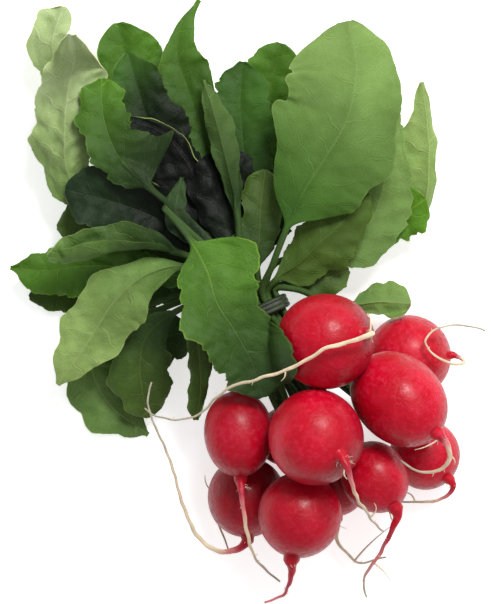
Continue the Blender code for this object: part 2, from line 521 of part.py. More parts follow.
def tie_rings():
    """The band round the stalks: its outline is a rounded box, square to the stalks."""
    a = np.linspace(0, 2 * np.pi, 29)[:-1]
    wide = (max(ROW_COUNTS) - 1) / 2 * STALK_PITCH + STALK_RADIUS + 0.7
    tall = (len(ROW_COUNTS) - 1) / 2 * ROW_PITCH + STALK_RADIUS + 0.9
    power = 2 / 3.4
    x = np.sign(np.cos(a)) * np.abs(np.cos(a)) ** power
    z = np.sign(np.sin(a)) * np.abs(np.sin(a)) ** power
    rings = []
    for out, along in ((0, -1), (1, -0.82), (1, 0.82), (0, 1)):
        o = out * TIE_THICKNESS
        rings.append(TIE_CENTRE + np.outer(x * (wide + o), TIE_SIDE) + np.outer(z * (tall + o), UP)
                     + TIE_RUN * along * TIE_WIDTH / 2)
    return np.array(rings)


def tie_object():
    rings = tie_rings()
    k, m = rings.shape[:2]
    mesh = bpy.data.meshes.new("tie")
    faces = [(i * m + j, i * m + (j + 1) % m, ((i + 1) % k) * m + (j + 1) % m, ((i + 1) % k) * m + j)
             for i in range(k) for j in range(m)]
    mesh.from_pydata((rings.reshape(-1, 3) * MM).tolist(), [], faces)
    return finish("tie", mesh, (0.05, 0.12, 0.3), 0.6)


for old in list(bpy.data.objects):
    bpy.data.objects.remove(old, do_unlink=True)

laid_last = (1, 9)
last_leaf = len(LEAVES) - 1
bulbs = {}
for number in BULBS:
    if number in laid_last:
        continue
    rings = bulb_rings(number)
    if number in RESTING:
        rings = bulb_rings(number, -FLAT_DEPTH - rings[:10, :, 2].min())
    bulbs[number] = rings
    heap(densify(rings, 5, 5))
for number in laid_last[1:]:
    rest = bulb_rings(number)
    drop = -FLAT_DEPTH - rest[:10, :, 2].min() if number in RESTING else 0.0
    heap(densify(bulb_rings(number, drop)[:10], 5, 5))
heap(densify(tie_rings(), 6, 4))
chains = stalk_chains()
for chain in chains:
    heap(densify(tube(chain, [STALK_RADIUS] * len(chain), 8), 3, 3))

made = []
for number, (leaf, chain) in enumerate(zip(LEAVES, chains)):
    if number == last_leaf:
        heap(densify(bulb_rings(1)[:10], 5, 5))
    rings, top, low = leaf_rings(leaf, chain, number)
    heap(densify(top, 8, 14))
    heap(densify(low, 8, 14))
    made.append(rings_object(f"leaf_{number + 1:02d}", rings, (0.13, 0.27, 0.06), 0.5))
for number in laid_last:
    rest = bulb_rings(number)
    drop = -FLAT_DEPTH - rest[:10, :, 2].min() if number in RESTING else 0.0
    bulbs[number] = bulb_rings(number, drop, lay=True)
for number in sorted(bulbs):
    made.append(rings_object(f"radish_{number:02d}", bulbs[number], (0.55, 0.03, 0.09), 0.35,
                             number in RESTING))
made.append(tie_object())

corners = np.array([v.co[:] for obj in made for v in obj.data.vertices])
shift = -0.5 * (corners.min(axis=0) + corners.max(axis=0))
for obj in made:
    for v in obj.data.vertices:
        v.co.x += shift[0]
        v.co.y += shift[1]
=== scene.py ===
import json
import bpy
import numpy as np
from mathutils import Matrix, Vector

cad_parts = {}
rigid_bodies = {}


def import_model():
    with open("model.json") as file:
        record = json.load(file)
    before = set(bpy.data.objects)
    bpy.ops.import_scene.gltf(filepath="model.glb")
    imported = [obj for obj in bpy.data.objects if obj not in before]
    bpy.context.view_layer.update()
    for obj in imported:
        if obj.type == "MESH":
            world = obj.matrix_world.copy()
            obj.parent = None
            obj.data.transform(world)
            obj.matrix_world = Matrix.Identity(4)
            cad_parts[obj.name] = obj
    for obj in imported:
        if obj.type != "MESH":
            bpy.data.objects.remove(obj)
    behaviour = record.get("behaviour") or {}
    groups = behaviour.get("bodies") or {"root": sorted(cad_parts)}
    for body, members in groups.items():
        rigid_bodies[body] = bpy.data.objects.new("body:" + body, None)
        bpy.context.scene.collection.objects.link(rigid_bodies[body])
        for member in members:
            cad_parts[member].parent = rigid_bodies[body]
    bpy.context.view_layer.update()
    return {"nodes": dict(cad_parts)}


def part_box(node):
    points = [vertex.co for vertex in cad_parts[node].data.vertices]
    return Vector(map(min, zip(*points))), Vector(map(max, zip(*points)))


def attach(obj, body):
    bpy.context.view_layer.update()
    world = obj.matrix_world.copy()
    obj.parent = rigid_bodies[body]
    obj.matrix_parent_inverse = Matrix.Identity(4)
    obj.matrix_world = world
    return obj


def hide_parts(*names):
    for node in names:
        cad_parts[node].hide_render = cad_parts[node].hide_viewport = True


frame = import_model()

print("frame loaded:", len(frame["nodes"]), "nodes")

# Everything is laid out in millimetres in the bunch's own layout, then moved onto the frame.
mm = 0.001
up = np.array([0.0, 0.0, 1.0])
# The band. Stalks run straight for the clear length on each side of its middle.
tie = dict(centre=np.array([4.0, -4.0, 20.5]), run=np.array([-0.42, 0.9075, 0.0]),
           side=np.array([0.9075, 0.42, 0.0]), width=5.0, thickness=1.1, clear=5.0)
tieLow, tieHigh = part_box("tie")
shift = np.array([(tieLow[k] + tieHigh[k]) / 2 / mm - tie["centre"][k] for k in (0, 1)] + [0.0])

stalks = dict(radius=1.2, pitch=3.1, rowPitch=2.75, rows=(6, 7, 6, 7, 6), crownGap=0.9,
              footGap=3.75, apart=1.15)
blade = dict(thickness=0.74, edge=0.64, rib=(0.95, 0.42), clearance=0.9, fine=4, side=12, step=9.5,
             steps=(0.0, 0.08, 0.2, 0.33, 0.46, 0.59, 0.72, 0.84, 0.94, 1.0))
flatDepth = 0.4
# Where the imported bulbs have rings, in degrees from the crown.
coarseTurns = (16, 36, 56, 75, 93, 111, 128, 144, 158, 168)
bodyRings = len(coarseTurns)
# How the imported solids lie: the band's room round the stalks, the tapers of bulbs and roots, how
# leaves are raised over each other and how stalks push each other apart.
bandFit = dict(spareAcross=0.7, spareUp=0.9, power=3.4)
bulbFit = dict(bodyPower=0.94, taperPower=0.38, rootPoints=60, rootGap=1.6, rootClear=1.3,
               heldPoints=14, easedPoints=12.0, rootStep=8.5, sides=12)
laying = dict(pastTie=14.0, spare=1.15, soft=0.8, stalkSoft=0.6, middle=0.72, stiffRounds=6)
crowd = dict(rounds=130, share=0.35, bulbShare=0.7, spare=0.9, smooth=0.35)
# The sines that ripple adds up.
waves = dict(golden=2.39996, circle=6.2832, shortest=0.65, longer=0.22, phase=2.1, over=2.6)

# Bulbs: centre, axis from crown to root, half length, radius, root's points, root's end radii.
bulbs = {
    1: ((27.5, -13.4, 49.0), (0.74, 0.16, 0.65), 17.0, 16.3,
        [(42.8, -10.4, 64.6), (40.2, -11.6, 68.2), (34.5, -13.2, 69.6), (27.5, -15.2, 69),
         (20, -19.6, 66.5), (12, -23.6, 63), (3, -26.4, 59), (-5.5, -29.4, 54),
         (-11.3, -34.3, 47), (-15.5, -38.7, 42),
         (-22.7, -41, 38), (-31, -40, 34), (-38, -35.4, 30)], (1.7, 0.45)),
    2: ((58.7, -19.6, 15.0), (0.94, 0.04, 0.32), 15.0, 15.0,
        [(77.5, -20.6, 22), (76.5, -22.0, 26.5), (71, -21.2, 30), (65.6, -18, 33), (62.9, -14, 33.5),
         (65.5, -10.6, 32.5), (71.3, -8.5, 30), (79, -8.6, 28), (86.5, -10.9, 26)], (1.1, 0.42)),
    3: ((53.1, -33.6, 42.5), (0.66, -0.60, 0.45), 18.5, 15.0,
        [(68.2, -47.6, 52.6), (70, -53, 51.5), (68.5, -56.8, 49), (63, -58.8, 46),
         (57.5, -57.6, 44), (53.3, -53.6, 43.5)], (2.1, 0.5)),
    4: ((24.1, -46.4, 50.2), (0.48, -0.33, 0.81), 16.5, 16.3,
        [(34.2, -55.5, 67), (36, -61.5, 64.5), (38, -67, 59.5), (41, -71.5, 54), (44.6, -76, 48.5),
         (48.4, -80, 43.5)], (2.0, 0.45)),
    5: ((-2.5, -46.2, 32.4), (0.05, -0.99, 0.12), 15.0, 12.2,
        [(-1.4, -66, 36.5), (-0.7, -73.5, 37), (0.4, -80, 35.5), (2.6, -87.5, 32.5), (7, -94.8, 29),
         (13.4, -99.6, 26.5)], (2.0, 0.5)),
    6: ((64.6, -54.9, 12.2), (0.61, -0.63, 0.48), 12.6, 12.6,
        [(74.2, -65.4, 19), (72.8, -68.8, 17.5), (69.6, -70.8, 15.5), (64.4, -72, 13.5),
         (55.5, -72, 11)], (1.7, 0.5)),
    7: ((45.3, -61.4, 33.0), (0.50, -0.76, 0.42), 12.9, 11.6,
        [(52.9, -74.2, 38.8), (51.2, -79.2, 37.6), (48.4, -85.4, 34), (45.4, -91.6, 29.5),
         (42.3, -98, 24), (43.4, -106.5, 19.5)], (2.4, 0.5)),
    8: ((18.9, -74.4, 36.7), (-0.18, -0.94, 0.20), 14.7, 14.6,
        [(16.2, -92.5, 39), (15.6, -97.5, 36), (13.2, -102.6, 31.5), (6.2, -106.6, 26.5)], (2.5, 0.5)),
    9: ((0.4, -70.2, 13.8), (0.02, -0.95, 0.26), 14.2, 14.2,
        [(-1.4, -87.8, 17.5), (-7.5, -89.6, 17), (-14.5, -86.4, 18), (-20.3, -77.5, 21),
         (-24, -66, 25), (-27.6, -53, 27), (-32.5, -43, 28), (-34.5, -35, 28), (-32.4, -25.6, 28)],
        (2.0, 0.45)),
    10: ((32.0, -65.0, 11.8), (0.10, -0.99, -0.05), 12.2, 12.0,
         [(33.2, -81, 10.5), (33, -85.6, 9.5), (36, -90, 8.5), (40.5, -94.4, 7.5), (46, -94, 6.5),
          (52, -92.7, 5)], (1.5, 0.45)),
    11: ((14.5, -48.5, 10.2), (-0.76, -0.60, -0.24), 10.6, 10.5,
         [(2.4, -56.6, 5.4), (-4.5, -59.5, 3.2), (-10, -66, 2.2), (-11.4, -74, 2), (-9.8, -81.5, 2),
          (-7.8, -87, 1.8), (-4.8, -93.6, 1.5)], (1.3, 0.45)),
}
resting = (2, 6, 9, 10, 11)
laidLast = (1, 9)

# Which bulb each stalk in the tie grows from, row by row from the lowest, left to right.
stalkBulbs = (
    (9, 9, 11, 10, 6, 2),
    (9, 11, 11, 10, 10, 6, 2),
    (5, 8, 8, 7, 7, 2),
    (5, 8, 4, 7, 1, 3, 3),
    (5, 4, 4, 1, 1),
)

# Leaves in the order in which they lie on each other: row and place in the tie, the midrib's
# points past the tie, which of them the blade starts at, half widths to the left and right at
# even steps, slant of each half at the midrib and at the margin, and the size of waves and teeth.
leaves = [
    dict(at=(0, 0), rib=[(-11, -3, 12.5), (-19, -9.5, 11), (-31, -13, 9), (-47, -14, 7)], start=1,
         left=(3, 8, 11, 11, 6), right=(3, 8, 11, 10, 6), bend=(8, -8, 8, -8), low=True),
    dict(at=(0, 1), rib=[(-12.5, 2, 13), (-32, -3, 9), (-51, -11, 7), (-56, -24, 6), (-50, -37, 5),
                         (-35.5, -48.5, 4)], start=2, point=True,
         left=(2, 6, 10, 10, 8, 6, 1), right=(2, 7, 9, 12, 11, 7, 1.5), bend=(6, -14, 8, -8), low=True),
    dict(at=(0, 2), rib=[(-14, 8, 13), (-36, 6, 8), (-58, 3.5, 6), (-79, 1.5, 5)], start=0,
         left=(2, 7, 8, 7, 6, 2), right=(2, 6, 8, 9, 8, 2), bend=(5, 10, 10, -10), low=True),
    dict(at=(0, 3), rib=[(-6, 14, 13), (-20, 38, 8), (-33, 63, 8), (-42, 84, 10), (-46.5, 101.5, 12)],
         start=0,
         left=(2, 6, 10, 13, 13, 7), right=(2, 6, 10, 14, 15, 9), bend=(12, 5, 12, 0), low=True),
    dict(at=(0, 4), rib=[(4, 14, 12), (6, 34, 8), (7, 56, 8), (9, 76, 10), (13, 94, 13)], start=0,
         left=(2, 11, 14, 14, 13, 8), right=(2, 11, 14, 15, 14, 10), bend=(12, 5, 12, 0), low=True),
    dict(at=(0, 5), rib=[(15, 6.5, 14), (33, 13, 10), (51, 22, 10), (63.5, 34, 13), (65.5, 52, 18),
                         (63, 78.5, 20)], start=2, point=True,
         left=(2, 10, 13, 13, 11, 5, 2.5), right=(2, 4, 4, 4, 4, 3, 2), bend=(5, -15, -15, -70)),
    dict(at=(1, 0), rib=[(-13, 0, 18), (-26, -4, 17), (-36, -13, 15), (-38, -24, 13), (-37, -33, 11),
                         (-35.5, -42, 8)], start=1,
         left=(2, 6, 10, 12, 10, 4), right=(2, 5, 8, 11, 9, 4), bend=(6, -12, 8, -14)),
    dict(at=(1, 1), rib=[(-13, 7, 18), (-34, 19, 15), (-52, 27, 13), (-68, 27, 12)], start=0,
         left=(2, 6, 9, 10, 9, 3), right=(2, 7, 10, 12, 10, 4), bend=(5, 0, 10, 0), teeth=0.12),
    dict(at=(1, 2), rib=[(-11, 13, 17), (-31, 38, 13), (-50, 60, 12), (-63, 78, 14), (-69, 91, 18),
                         (-65, 105.5, 20)], start=2,
         left=(2, 7, 9, 8, 9, 5), right=(2, 6, 8, 8, 5, 5), bend=(5, -20, 8, -20)),
    dict(at=(1, 3), rib=[(-3, 15, 17), (-8, 38, 14), (-14, 58, 14), (-20, 75, 15), (-24.5, 91, 16),
                         (-23, 99, 16), (-16.5, 108.5, 14)], start=0, point=True,
         left=(2, 5, 8, 10, 11, 9, 2, 1), right=(2, 5, 8, 9, 8, 10, 5, 1), bend=(15, 5, 15, 0)),
    dict(at=(1, 4), rib=[(2, 15, 18), (1, 38, 16.5), (-1, 57, 17), (-2, 71, 18), (-1, 86, 18)], start=0,
         left=(2, 5, 9, 10, 10, 5), right=(2, 5, 9, 11, 11, 6), bend=(14, 0, 14, 5), teeth=0.12),
    dict(at=(1, 6), rib=[(16.5, 6, 18), (31, 14, 15), (46, 24.5, 14), (64.5, 37, 14)], start=2,
         left=(3, 8, 9, 9, 6), right=(3, 8, 9, 8, 5), bend=(10, 0, 10, -8), teeth=0.1),
    dict(at=(1, 5), rib=[(9.5, 12.5, 19), (26, 17.5, 18.5), (42, 25, 18), (49, 40, 19), (50, 58, 21),
                         (48.5, 79, 23)], start=1,
         left=(3, 9, 12, 13, 10, 4), right=(3, 11, 12, 8, 6, 5), bend=(10, 0, 12, -12)),
    dict(at=(2, 0), rib=[(-14, 5, 21), (-38, 12, 16), (-59, 13, 13), (-72, 11.5, 11), (-85, 12.5, 9)],
         start=0, point=True,
         left=(2, 4, 6, 8, 9, 9, 2), right=(2, 4, 6, 8, 9, 7, 1), bend=(8, -8, 10, -12), teeth=0.12),
    dict(at=(2, 1), rib=[(-10, 12, 20), (-21, 35, 18), (-31, 55, 18), (-37, 72, 20), (-42, 89, 20)],
         start=0,
         left=(2, 6, 10, 12, 11, 4), right=(2, 6, 10, 12, 10, 4), bend=(14, 0, 14, 6), teeth=0.1),
    dict(at=(2, 2), rib=[(-6, 15, 21), (-12, 31, 20), (-19, 47, 20), (-29, 60, 20), (-44, 66, 19)],
         start=0, point=True,
         left=(2, 7, 13, 16, 13, 3), right=(2, 3, 4, 5, 4, 1.5), bend=(-5, -15, 25, 50)),
    dict(at=(2, 3), rib=[(0, 13, 21), (-3, 26, 20), (-6, 40, 19), (-8, 55, 18)], start=0,
         left=(1.5, 8, 13, 13, 5), right=(1.5, 8, 12, 12, 5), bend=(12, 0, 12, 0)),
    dict(at=(2, 4), rib=[(4, 12, 23), (5, 24, 24), (5.5, 34, 24), (7, 47, 23)], start=0,
         left=(3, 12, 7, 6, 7, 3), right=(1.5, 5, 6, 8, 7, 2), bend=(5, -5, 5, -10)),
    dict(at=(2, 5), rib=[(14.5, 6.8, 21), (22, 7.5, 20), (30, 9, 20), (37, 11.5, 18)], start=0,
         left=(2, 4, 5, 5, 3), right=(2, 4, 6, 6, 3), bend=(8, 0, 8, 0)),
    dict(at=(3, 0), rib=[(-10, 0, 25), (-17, -8, 28), (-16.4, -20, 27), (-16, -31, 25),
                         (-17.6, -42, 22)], start=1,
         left=(1.5, 4, 4.5, 3, 2, 1.5), right=(1.5, 3.5, 4, 4, 4, 3), bend=(5, -10, 5, -20)),
    dict(at=(3, 1), rib=[(-13, 11, 24), (-34, 25, 21), (-54, 33, 20), (-63, 45, 22), (-64, 62, 26),
                         (-62, 78, 28), (-59, 90.5, 27)], start=2,
         left=(2, 9, 13, 12, 11, 11), right=(2, 8, 10, 11, 12, 13), bend=(-8, -40, -8, -36),
         stiff=True, wide=True, wave=1.4),
    dict(at=(3, 2), rib=[(-9, 13, 25), (-22, 24, 25), (-34, 31, 25), (-48, 36, 24), (-64, 40, 21)],
         start=0,
         left=(2, 5, 10, 12, 11, 5), right=(2, 4, 9, 13, 13, 7), bend=(5, 10, 15, 25)),
    dict(at=(3, 3), rib=[(-7, 15, 25), (-19, 28, 26), (-34, 40.5, 28), (-45, 52, 29.5), (-50, 65, 28.5),
                         (-51, 79, 26)], start=2,
         left=(2, 6, 9, 9, 9, 8, 4), right=(5, 18, 14, 9, 9, 8, 4), bend=(10, 5, 12, 8), teeth=0.1),
    dict(at=(3, 4), rib=[(-1, 14, 25), (-3, 32, 25), (-7, 50, 25), (-11, 66, 24), (-15, 79, 22)],
         start=1, point=True,
         left=(1.5, 3.5, 4.5, 5, 4, 1), right=(1.5, 4, 6, 6.5, 4.5, 1), bend=(-15, -55, -15, -40)),
    dict(at=(3, 5), rib=[(11, 8, 26), (18, 13, 27), (27, 21.5, 29), (36, 30, 29), (44, 38, 27)],
         start=0, point=True,
         left=(2, 6, 9, 10, 8, 2), right=(2, 9, 12, 12, 9, 2), bend=(-8, -20, -8, -30)),
    dict(at=(3, 6), rib=[(17.5, 4.6, 24.5), (27.5, 0.8, 23.5), (38, -1, 22.5), (48, 0, 21),
                         (59, -0.5, 20)], start=2,
         left=(1.6, 5, 7, 7.5, 5), right=(1.6, 4, 5, 6, 4), bend=(-5, -30, -5, -30)),
    dict(at=(4, 0), rib=[(-9, 6, 28), (-22, 12.5, 30), (-34, 10, 31), (-45, 1.5, 30), (-55, -13, 27),
                         (-67, -29.5, 21)], start=1, point=True,
         left=(1.6, 7, 12, 11, 8, 2), right=(1.6, 6, 12, 13, 10, 3), bend=(-6, -26, -6, -30),
         wide=True),
    dict(at=(4, 1), rib=[(-8, 9, 28), (-24, 17.5, 31), (-38, 20, 33), (-52, 18.5, 32), (-67, 15, 30)],
         start=1,
         left=(1.6, 6, 9, 13, 15, 12), right=(1.6, 5, 8, 9, 8, 6), bend=(30, 178, 10, 20), stiff=True,
         wide=True),
    dict(at=(4, 3), rib=[(-4, 13, 28), (-14, 21, 30), (-24, 30, 31), (-22.5, 44, 29)],
         start=1, point=True,
         left=(1.5, 4, 4.5, 3, 1), right=(1.5, 3, 4, 3, 1), bend=(8, -5, 10, 10)),
    dict(at=(4, 4), rib=[(9.5, 13, 33), (14.5, 26, 37), (19.5, 37, 39), (27, 49, 41), (35, 63, 42),
                         (38.5, 80, 40), (36, 98.5, 34)], start=1,
         left=(2.5, 12, 22, 26, 25, 25, 22), right=(2.5, 17, 21, 21, 18, 14, 10),
         bend=(-5, -28, -6, -34), wide=True),
    dict(at=(4, 2), rib=[(-8, 13.5, 29), (-19, 24, 30), (-26.5, 31, 33), (-28, 32.5, 38), (-24, 28, 41),
                         (-18, 20, 43), (-13, 10.5, 45), (-10, 0.5, 47), (-3.5, -10, 48), (2, -20, 47),
                         (6, -33, 45)], start=5,
         left=(4, 10, 13, 14, 13, 11, 7), right=(13, 17, 14.5, 12.5, 12.5, 14, 9),
         bend=(8, -10, 6, -18), teeth=0.1, wide=True, step=3.8),
]


def unit(v):
    # a vector over its own length
    v = np.asarray(v, float)
    return v / np.linalg.norm(v, axis=-1, keepdims=True)


def ease(x):
    # 0 below 0, 1 above 1, and x squared times (3 - 2x) between
    x = np.clip(x, 0.0, 1.0)
    return x * x * (3.0 - 2.0 * x)


def hermite(p0, m0, p1, m1, u):
    # cubic from p0 to p1 that leaves along m0 and arrives along m1
    return ((2 * u**3 - 3 * u**2 + 1) * p0 + (u**3 - 2 * u**2 + u) * m0
            + (3 * u**2 - 2 * u**3) * p1 + (u**3 - u**2) * m1)


def smoothPath(points, count=None, at=None):
    # cubics through the points, each slope the mean of its two chords, read at even steps or at
    # given distances along the path
    p = np.asarray(points, float)
    d = np.linalg.norm(np.diff(p, axis=0), axis=1)
    knots = np.concatenate([[0.0], np.cumsum(d)])
    slope = np.diff(p, axis=0) / d[:, None]
    m = np.empty_like(p)
    m[0], m[-1] = slope[0], slope[-1]
    m[1:-1] = (slope[:-1] * d[1:, None] + slope[1:] * d[:-1, None]) / (d[1:] + d[:-1])[:, None]
    s = np.linspace(0.0, knots[-1], 900)
    i = np.clip(np.searchsorted(knots, s, side="right") - 1, 0, len(d) - 1)
    h = d[i][:, None]
    curve = hermite(p[i], h * m[i], p[i + 1], h * m[i + 1], ((s - knots[i]) / d[i])[:, None])
    run = np.concatenate([[0.0], np.cumsum(np.linalg.norm(np.diff(curve, axis=0), axis=1))])
    if at is None:
        at = np.linspace(0.0, run[-1], count)
    out = np.stack([np.interp(at, run, curve[:, k]) for k in range(3)], axis=1)
    marks = np.array([run[np.argmin(np.abs(s - k))] for k in knots])
    return out, marks, run[-1]


def catmull(a, b, c, d, u):
    # the Catmull-Rom cubic from b to c, with a before them and d after
    return b + 0.5 * u * (c - a + u * (2 * a - 5 * b + 4 * c - d + u * (3 * (b - c) + d - a)))


def steady(values, at):
    # Catmull-Rom line through evenly spaced values
    v = np.asarray(values, float)
    x = np.clip(at, 0.0, 1.0) * (len(v) - 1)
    i = np.minimum(x.astype(int), len(v) - 2)
    u = x - i
    pad = np.concatenate([[2 * v[0] - v[1]], v, [2 * v[-1] - v[-2]]])
    return np.maximum(catmull(pad[i], pad[i + 1], pad[i + 2], pad[i + 3], u), 0.5)


def between(grid, rows, cols):
    # Catmull-Rom reading of a grid of points at fractional rows, then at fractional columns
    for axis, at in ((0, rows), (1, cols)):
        size = grid.shape[axis]
        i = np.clip(at.astype(int), 0, size - 2)
        u = (at - i).reshape([-1 if k == axis else 1 for k in range(grid.ndim)])
        grid = catmull(*[np.take(grid, np.clip(i + k, 0, size - 1), axis) for k in (-1, 0, 1, 2)], u)
    return grid


def ripple(a, b, size, seed):
    # uneven waves: the sum of five sines across (a, b), each turned by the golden angle and longer
    # than the last, over 2.6
    total = 0.0
    for k in range(5):
        turn = waves["golden"] * (k + seed)
        reach = size * (waves["shortest"] + waves["longer"] * k)
        across = (a * np.cos(turn) + b * np.sin(turn)) * waves["circle"] / reach
        total = total + np.sin(across + waves["phase"] * k + seed)
    return total / waves["over"]


def sway(along, size, seed):
    # the same waves along one distance only
    return ripple(along, 0 * along, size, seed)


def softly(need, rounding):
    # a soft maximum of 0 and need: half of need plus the root of need squared and the rounding
    return 0.5 * (need + np.sqrt(need**2 + rounding))


def blend(before, value, after):
    # a mean with weights 1, 2, 1
    return 0.25 * before + 0.5 * value + 0.25 * after


def highest(values, reach, axis=0):
    # the highest of each value and its neighbours within reach, along one axis
    return np.max([np.roll(values, k, axis) for k in range(-reach, reach + 1)], axis=0)


# Height of all that is laid so far, on a one-millimetre grid.
pile = dict(x=-105, y=-125, nx=212, ny=245)
ground = np.zeros((pile["nx"], pile["ny"]))


def heap(rings, along, around):
    # lays a grid of points on the pile, with this many straight steps from each to the next
    p = densify(rings, along, around).reshape(-1, 3)
    i = np.clip(np.rint(p[:, 0] - pile["x"]).astype(int), 0, pile["nx"] - 1)
    j = np.clip(np.rint(p[:, 1] - pile["y"]).astype(int), 0, pile["ny"] - 1)
    np.maximum.at(ground, (i, j), p[:, 2])


def spread(field, reach, softness):
    # the highest value within reach, then blurred
    for axis in (0, 1):
        field = highest(field, reach, axis)
    for _ in range(softness):
        for axis in (0, 1):
            field = blend(np.roll(field, 1, axis), field, np.roll(field, -1, axis))
    return field


def height(field, x, y):
    # bilinear reading of the height grid
    gx = np.clip(x - pile["x"], 0, pile["nx"] - 1.001)
    gy = np.clip(y - pile["y"], 0, pile["ny"] - 1.001)
    i, j = gx.astype(int), gy.astype(int)
    u, v = gx - i, gy - j
    return ((1 - u) * (1 - v) * field[i, j] + u * (1 - v) * field[i + 1, j]
            + (1 - u) * v * field[i, j + 1] + u * v * field[i + 1, j + 1])


def densify(rings, along, around):
    # reads straight lines between a grid's points, with this many steps from each to the next
    a = np.asarray(rings)
    n, m = a.shape[:2]
    for axis, k, size in ((0, along, n), (1, around, m)):
        x = np.linspace(0, size - 1, (size - 1) * k + 1)
        i = np.minimum(x.astype(int), size - 2)
        u = (x - i).reshape([-1 if q == axis else 1 for q in range(3)])
        a = np.take(a, i, axis) * (1 - u) + np.take(a, i + 1, axis) * u
    return a


def tube(path, radii, sides, uneven=None):
    # circles square to the path, their side carried along it without a twist; uneven multiplies
    # each radius
    path = np.asarray(path, float)
    run = unit(np.gradient(path, axis=0))
    side = np.cross(up, run[0])
    side = unit(side) if np.linalg.norm(side) > 0.05 else np.array([1.0, 0, 0])
    sides3 = np.empty_like(path)
    for i, t in enumerate(run):
        side = unit(side - t * np.dot(side, t))
        sides3[i] = side
    over = np.cross(run, sides3)
    a = np.arange(sides) * 2 * np.pi / sides
    reach = np.asarray(radii)[:, None] * (np.ones(sides) if uneven is None else uneven)
    return (path[:, None] + reach[..., None] * (np.cos(a)[None, :, None] * sides3[:, None]
                                                + np.sin(a)[None, :, None] * over[:, None]))


def bulbLine(number, lift=0.0, lay=False):
    # the bulb's middle and axis, and its root as even points from just past the body, which for
    # the bulbs laid last is raised over what is laid, but for its first points
    centre, axis, half, radius, root, ends = bulbs[number]
    centre = np.array(centre) + up * lift
    axis = unit(axis)
    start = centre + axis * (half + bulbFit["rootGap"])
    line, _, length = smoothPath([start] + [np.array(p, float) for p in root], bulbFit["rootPoints"])
    if lay:
        soft = spread(ground, 2, 2)
        need = height(soft, line[:, 0], line[:, 1]) + bulbFit["rootClear"] + blade["clearance"]
        far = ease((np.arange(len(line)) - bulbFit["heldPoints"]) / bulbFit["easedPoints"])
        line[:, 2] += far * softly(need - line[:, 2], laying["stalkSoft"])
    return centre, axis, half, radius, line, length, ends


def rootTaper(ends, way):
    # from the first radius to the last by the 0.38th power of the way down the root
    return ends[0] + (ends[1] - ends[0]) * way ** bulbFit["taperPower"]


def bulbRings(number, lift=0.0):
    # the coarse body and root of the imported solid
    centre, axis, half, radius, line, length, ends = bulbLine(number, lift)
    turn = np.radians(coarseTurns)
    body = centre - axis * half * np.cos(turn)[:, None]
    radii = list(radius * np.sin(turn) ** bulbFit["bodyPower"])
    steps = max(5, int(round(length / bulbFit["rootStep"])))
    line, _, length = smoothPath(line[::3], steps + 1)
    taper = rootTaper(ends, np.linspace(0, 1, steps + 1))
    taper[0] = 0.3 * radii[-1] + 0.7 * ends[0]
    return tube(np.vstack([body, line]), radii + list(taper), bulbFit["sides"])


def slotAt(row, place):
    # where a stalk passes the tie's middle
    across = (place - (stalks["rows"][row] - 1) / 2) * stalks["pitch"]
    high = (row - (len(stalks["rows"]) - 1) / 2) * stalks["rowPitch"]
    return tie["centre"] + tie["side"] * across + up * high


def stalkChains():
    # stalks as cubics from their crowns to the tie, pushed apart until they are clear
    owners, mouths = [], []
    for leaf in leaves:
        row, place = leaf["at"]
        owners.append(stalkBulbs[row][place])
        mouths.append(slotAt(row, place) - tie["run"] * tie["clear"])
    owners, mouths = np.array(owners), np.array(mouths)
    count = 22
    chains = []
    for k, (owner, mouth) in enumerate(zip(owners, mouths)):
        centre, axis, half, radius = [np.array(v, float) for v in bulbs[owner][:4]]
        axis = unit(axis)
        mine = np.where(owners == owner)[0]
        across = unit(np.cross(axis, up))
        rise = np.cross(axis, across)
        spokes = mouths[mine] - mouths[mine].mean(axis=0)
        angles = np.arctan2(spokes @ rise, spokes @ across)
        order = list(np.argsort(angles)).index(list(mine).index(k))
        angle = angles.min() + order * 2 * np.pi / len(mine)
        away = 0.0 if len(mine) == 1 else stalks["footGap"] / (2 * np.sin(np.pi / len(mine)))
        off = away * (np.cos(angle) * across + np.sin(angle) * rise)
        foot = centre - axis * (half + stalks["crownGap"] + stalks["radius"] * 0.5) + off
        reach = np.linalg.norm(mouth - foot)
        u = np.linspace(0, 1, count)[:, None]
        chains.append(hermite(foot, -axis * reach * 0.7, mouth, tie["run"] * reach * 0.7, u))
    chains = np.array(chains)
    pinned = np.zeros(count, bool)
    pinned[[0, 1, -1]] = True
    least = 2 * stalks["radius"] + stalks["apart"]
    keepOff = [(np.array(c, float), np.array(r, float) + stalks["radius"] + crowd["spare"], n)
               for n, (c, _, _, r, _, _) in bulbs.items()]
    for _ in range(crowd["rounds"]):
        flat = chains.reshape(-1, 3)
        who = np.repeat(np.arange(len(chains)), count)
        gap = flat[:, None] - flat[None]
        far = np.linalg.norm(gap, axis=2) + 1e-6
        press = np.where((far < least) & (who[:, None] != who[None]), least - far, 0.0)
        push = (gap / far[..., None] * press[..., None]).sum(axis=1) * crowd["share"]
        push = push.reshape(chains.shape)
        for centre, keep, number in keepOff:
            out = chains - centre
            d = np.linalg.norm(out, axis=2, keepdims=True)
            other = (owners != number)[:, None, None]
            push += np.where((d < keep) & other, out / d * (keep - d), 0.0) * crowd["bulbShare"]
        size = np.linalg.norm(push, axis=2, keepdims=True)
        push = push / np.maximum(size, 1e-6) * np.minimum(size, 1.0)
        push[:, pinned] = 0
        chains = chains + push
        smooth = chains.copy()
        smooth[:, 1:-1] = blend(chains[:, :-2], chains[:, 1:-1], chains[:, 2:])
        chains = np.where(pinned[None, :, None], chains, chains + crowd["smooth"] * (smooth - chains))
    return chains


